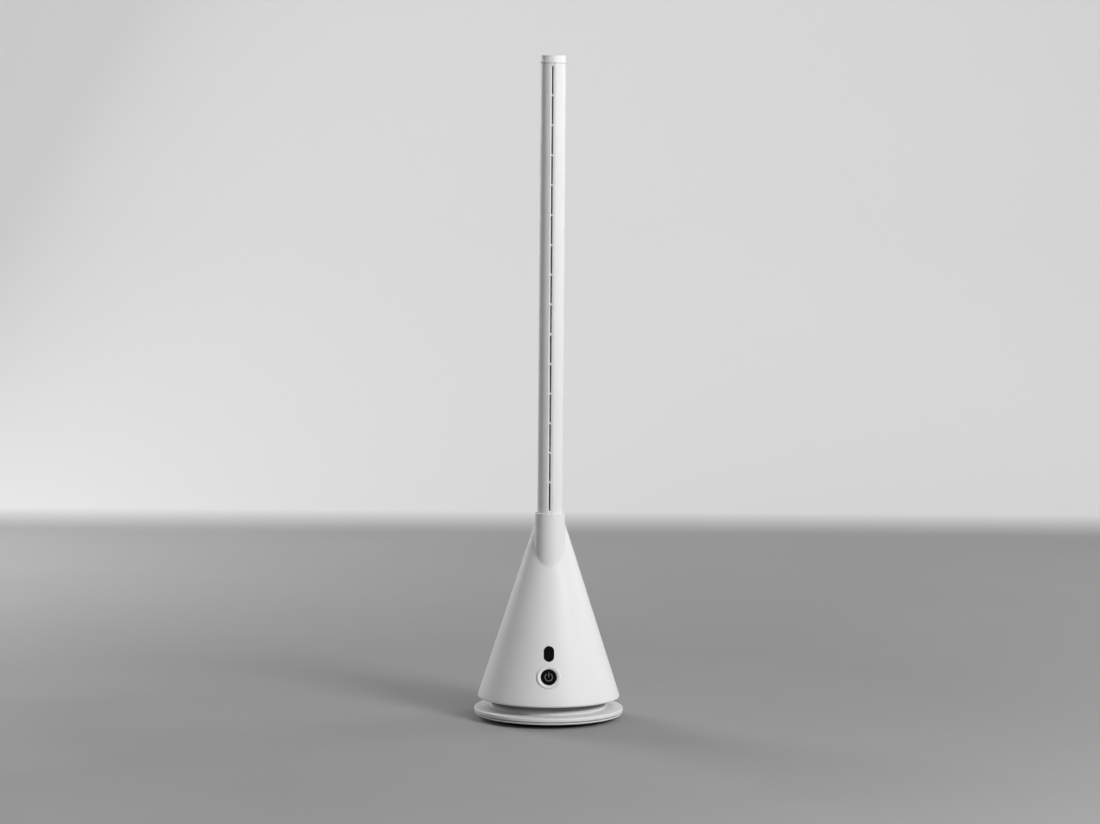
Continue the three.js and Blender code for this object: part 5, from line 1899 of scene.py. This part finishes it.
@dataclass
class Studio:
    """Pale floor and wall in one sweep, soft lamps, and the photograph's camera."""

    floor_colour: Colour = (0.32, 0.32, 0.32)
    wall_colour: Colour = (0.5, 0.5, 0.5)
    wall_glow: float = 0.26
    wall_rise: Flat = (0.0, 0.03)
    floor_glow: float = 0.13
    floor_reach: Flat = (0.7, 3.2)
    sky_glow: float = 0.62
    half_width: float = 6.0
    front: float = -7.0
    back: float = 3.1
    wall_height: float = 6.0
    bend: float = 0.7
    bend_segments: int = 24
    bend_angle: float = 60.0
    world: float = 0.06
    lamps: list[SoftLight] = field(
        default_factory=lambda: [
            SoftLight("key", 42, 19, 3.2, 0.95, 0.4, 61),
            SoftLight("high", 42, 50, 3.2, 1.5, 1.5, 28),
            SoftLight("side", 116, 22, 3.0, 1.4, 1.8, 21),
            SoftLight("rim", -136, 22, 3.0, 1.3, 2.0, 42),
            SoftLight("fill", -78, 25, 3.5, 2.0, 2.0, 11),
        ]
    )
    camera_place: tuple[float, float, float] = (-0.0011, -5.0, 0.88)
    camera_pitch: float = 4.635
    camera_roll: float = 0.43
    lens: float = 106.66

    def build(self) -> None:
        """Builds the sweep, the lamps, the world and the camera."""
        self._sweep()
        for lamp in self.lamps:
            lamp.build()
        self._room()
        self._camera()
        bpy.context.scene.view_settings.view_transform = "Standard"

    def _room(self) -> None:
        """World that lights the fan dimly and looks paler where it is seen."""
        world = bpy.data.worlds.new("room")
        world.use_nodes = True
        tree = world.node_tree
        backdrop = tree.nodes["Background"]
        backdrop.inputs["Color"].default_value = (1, 1, 1, 1)
        rays = tree.nodes.new("ShaderNodeLightPath").outputs
        seen = worked_out(tree, Sum.LARGER, rays["Is Camera Ray"], rays["Is Transmission Ray"])
        sky = tree.nodes.new("ShaderNodeMapRange")
        sky.inputs["To Min"].default_value = self.world
        sky.inputs["To Max"].default_value = self.sky_glow
        tree.links.new(seen, sky.inputs["Value"])
        tree.links.new(sky.outputs["Result"], backdrop.inputs["Strength"])
        bpy.context.scene.world = world

    def _sweep(self) -> None:
        """Floor that bends up into a wall behind the fan."""
        select_none()
        bpy.ops.mesh.primitive_plane_add(size=1)
        sweep = bpy.context.object
        name_piece(sweep, "studio_sweep")
        bpy.ops.object.mode_set(mode="EDIT")
        bpy.ops.mesh.select_all(action="SELECT")
        bpy.ops.transform.resize(value=(2 * self.half_width, self.back - self.front, 1))
        bpy.ops.transform.translate(value=(0, (self.back + self.front) / 2, 0))
        work = bmesh.from_edit_mesh(sweep.data)
        middle = (self.back + self.front) / 2
        for edge in work.edges:
            edge.select = all(vertex.co.y > middle for vertex in edge.verts)
        for vertex in work.verts:
            vertex.select = vertex.co.y > middle
        work.select_flush(True)
        bmesh.update_edit_mesh(sweep.data)
        bpy.ops.mesh.extrude_edges_move(TRANSFORM_OT_translate={"value": (0, 0, self.wall_height)})
        leave_edit_mode()
        soften(sweep, self.bend / MM, self.bend_angle, self.bend_segments)
        shade(sweep, self.bend_angle)
        recipe = Recipe("painted_sweep")
        rise = recipe.ranged(recipe.height_above_floor(), 0, 1, *self.wall_rise)
        colour = recipe.blended(rise, self.floor_colour, self.wall_colour)
        gloss = recipe.ranged(recipe.noise(300, 3), 0.7, 0.8)
        recipe.finish(colour, gloss, recipe.bumped(recipe.noise(3, 3), 0.02, 0.2))
        glow = worked_out(
            recipe.tree,
            Sum.ADD,
            recipe.ranged(recipe.height_above_floor(), 0, self.wall_glow, *self.wall_rise),
            recipe.ranged(recipe.distance_out(), 0, self.floor_glow, *self.floor_reach),
        )
        recipe.link(recipe.when_seen(glow), recipe.shader.inputs["Emission Strength"])
        sweep.data.materials.append(recipe.material)
        LOG.info("studio sweep ready")

    def _camera(self) -> None:
        """Camera at the photograph's height, distance, pitch and slight roll."""
        data = bpy.data.cameras.new("camera")
        data.lens = self.lens
        data.sensor_width = SENSOR_WIDTH
        camera = bpy.data.objects.new("camera", data)
        bpy.context.scene.collection.objects.link(camera)
        camera.location = self.camera_place
        pitch = Matrix.Rotation(math.radians(90 - self.camera_pitch), 3, "X")
        roll = Matrix.Rotation(math.radians(self.camera_roll), 3, "Z")
        camera.rotation_euler = (pitch @ roll).to_euler()
        bpy.context.scene.camera = camera


# ------------------------------------------------------------------ the whole fan
def main() -> None:
    logging.basicConfig(level=logging.INFO, format="%(message)s")
    Studio().build()
    rack = FinishRack()
    rack.dress_frame()
    form = ConeForm()
    base = BaseStack(rack)
    base.build()
    floor = TurningFloor(rack, form)
    floor.build()
    screws = [
        (f"base_fastener_{i + 1}", f"base_screw_{i + 1}", Body.BASE, x, y, base.screw_seat)
        for i, (x, y) in enumerate(base.screw_places())
    ]
    screws += [
        (f"floor_fastener_{i + 1}", f"floor_screw_{i + 1}", Body.TOWER, x, y, floor.bottom)
        for i, (x, y) in enumerate(floor.screw_places())
    ]
    Fasteners(rack).build(screws)
    panel = FrontPanel(rack, form)
    intake = RearIntake(rack, form)
    ConeHousing(rack, form).build(
        [panel.display_opening, panel.button_opening, intake.field_opening, intake.inlet_opening]
    )
    panel.build()
    intake.build()
    AirTube(rack).build()


if __name__ == "__main__":
    main()
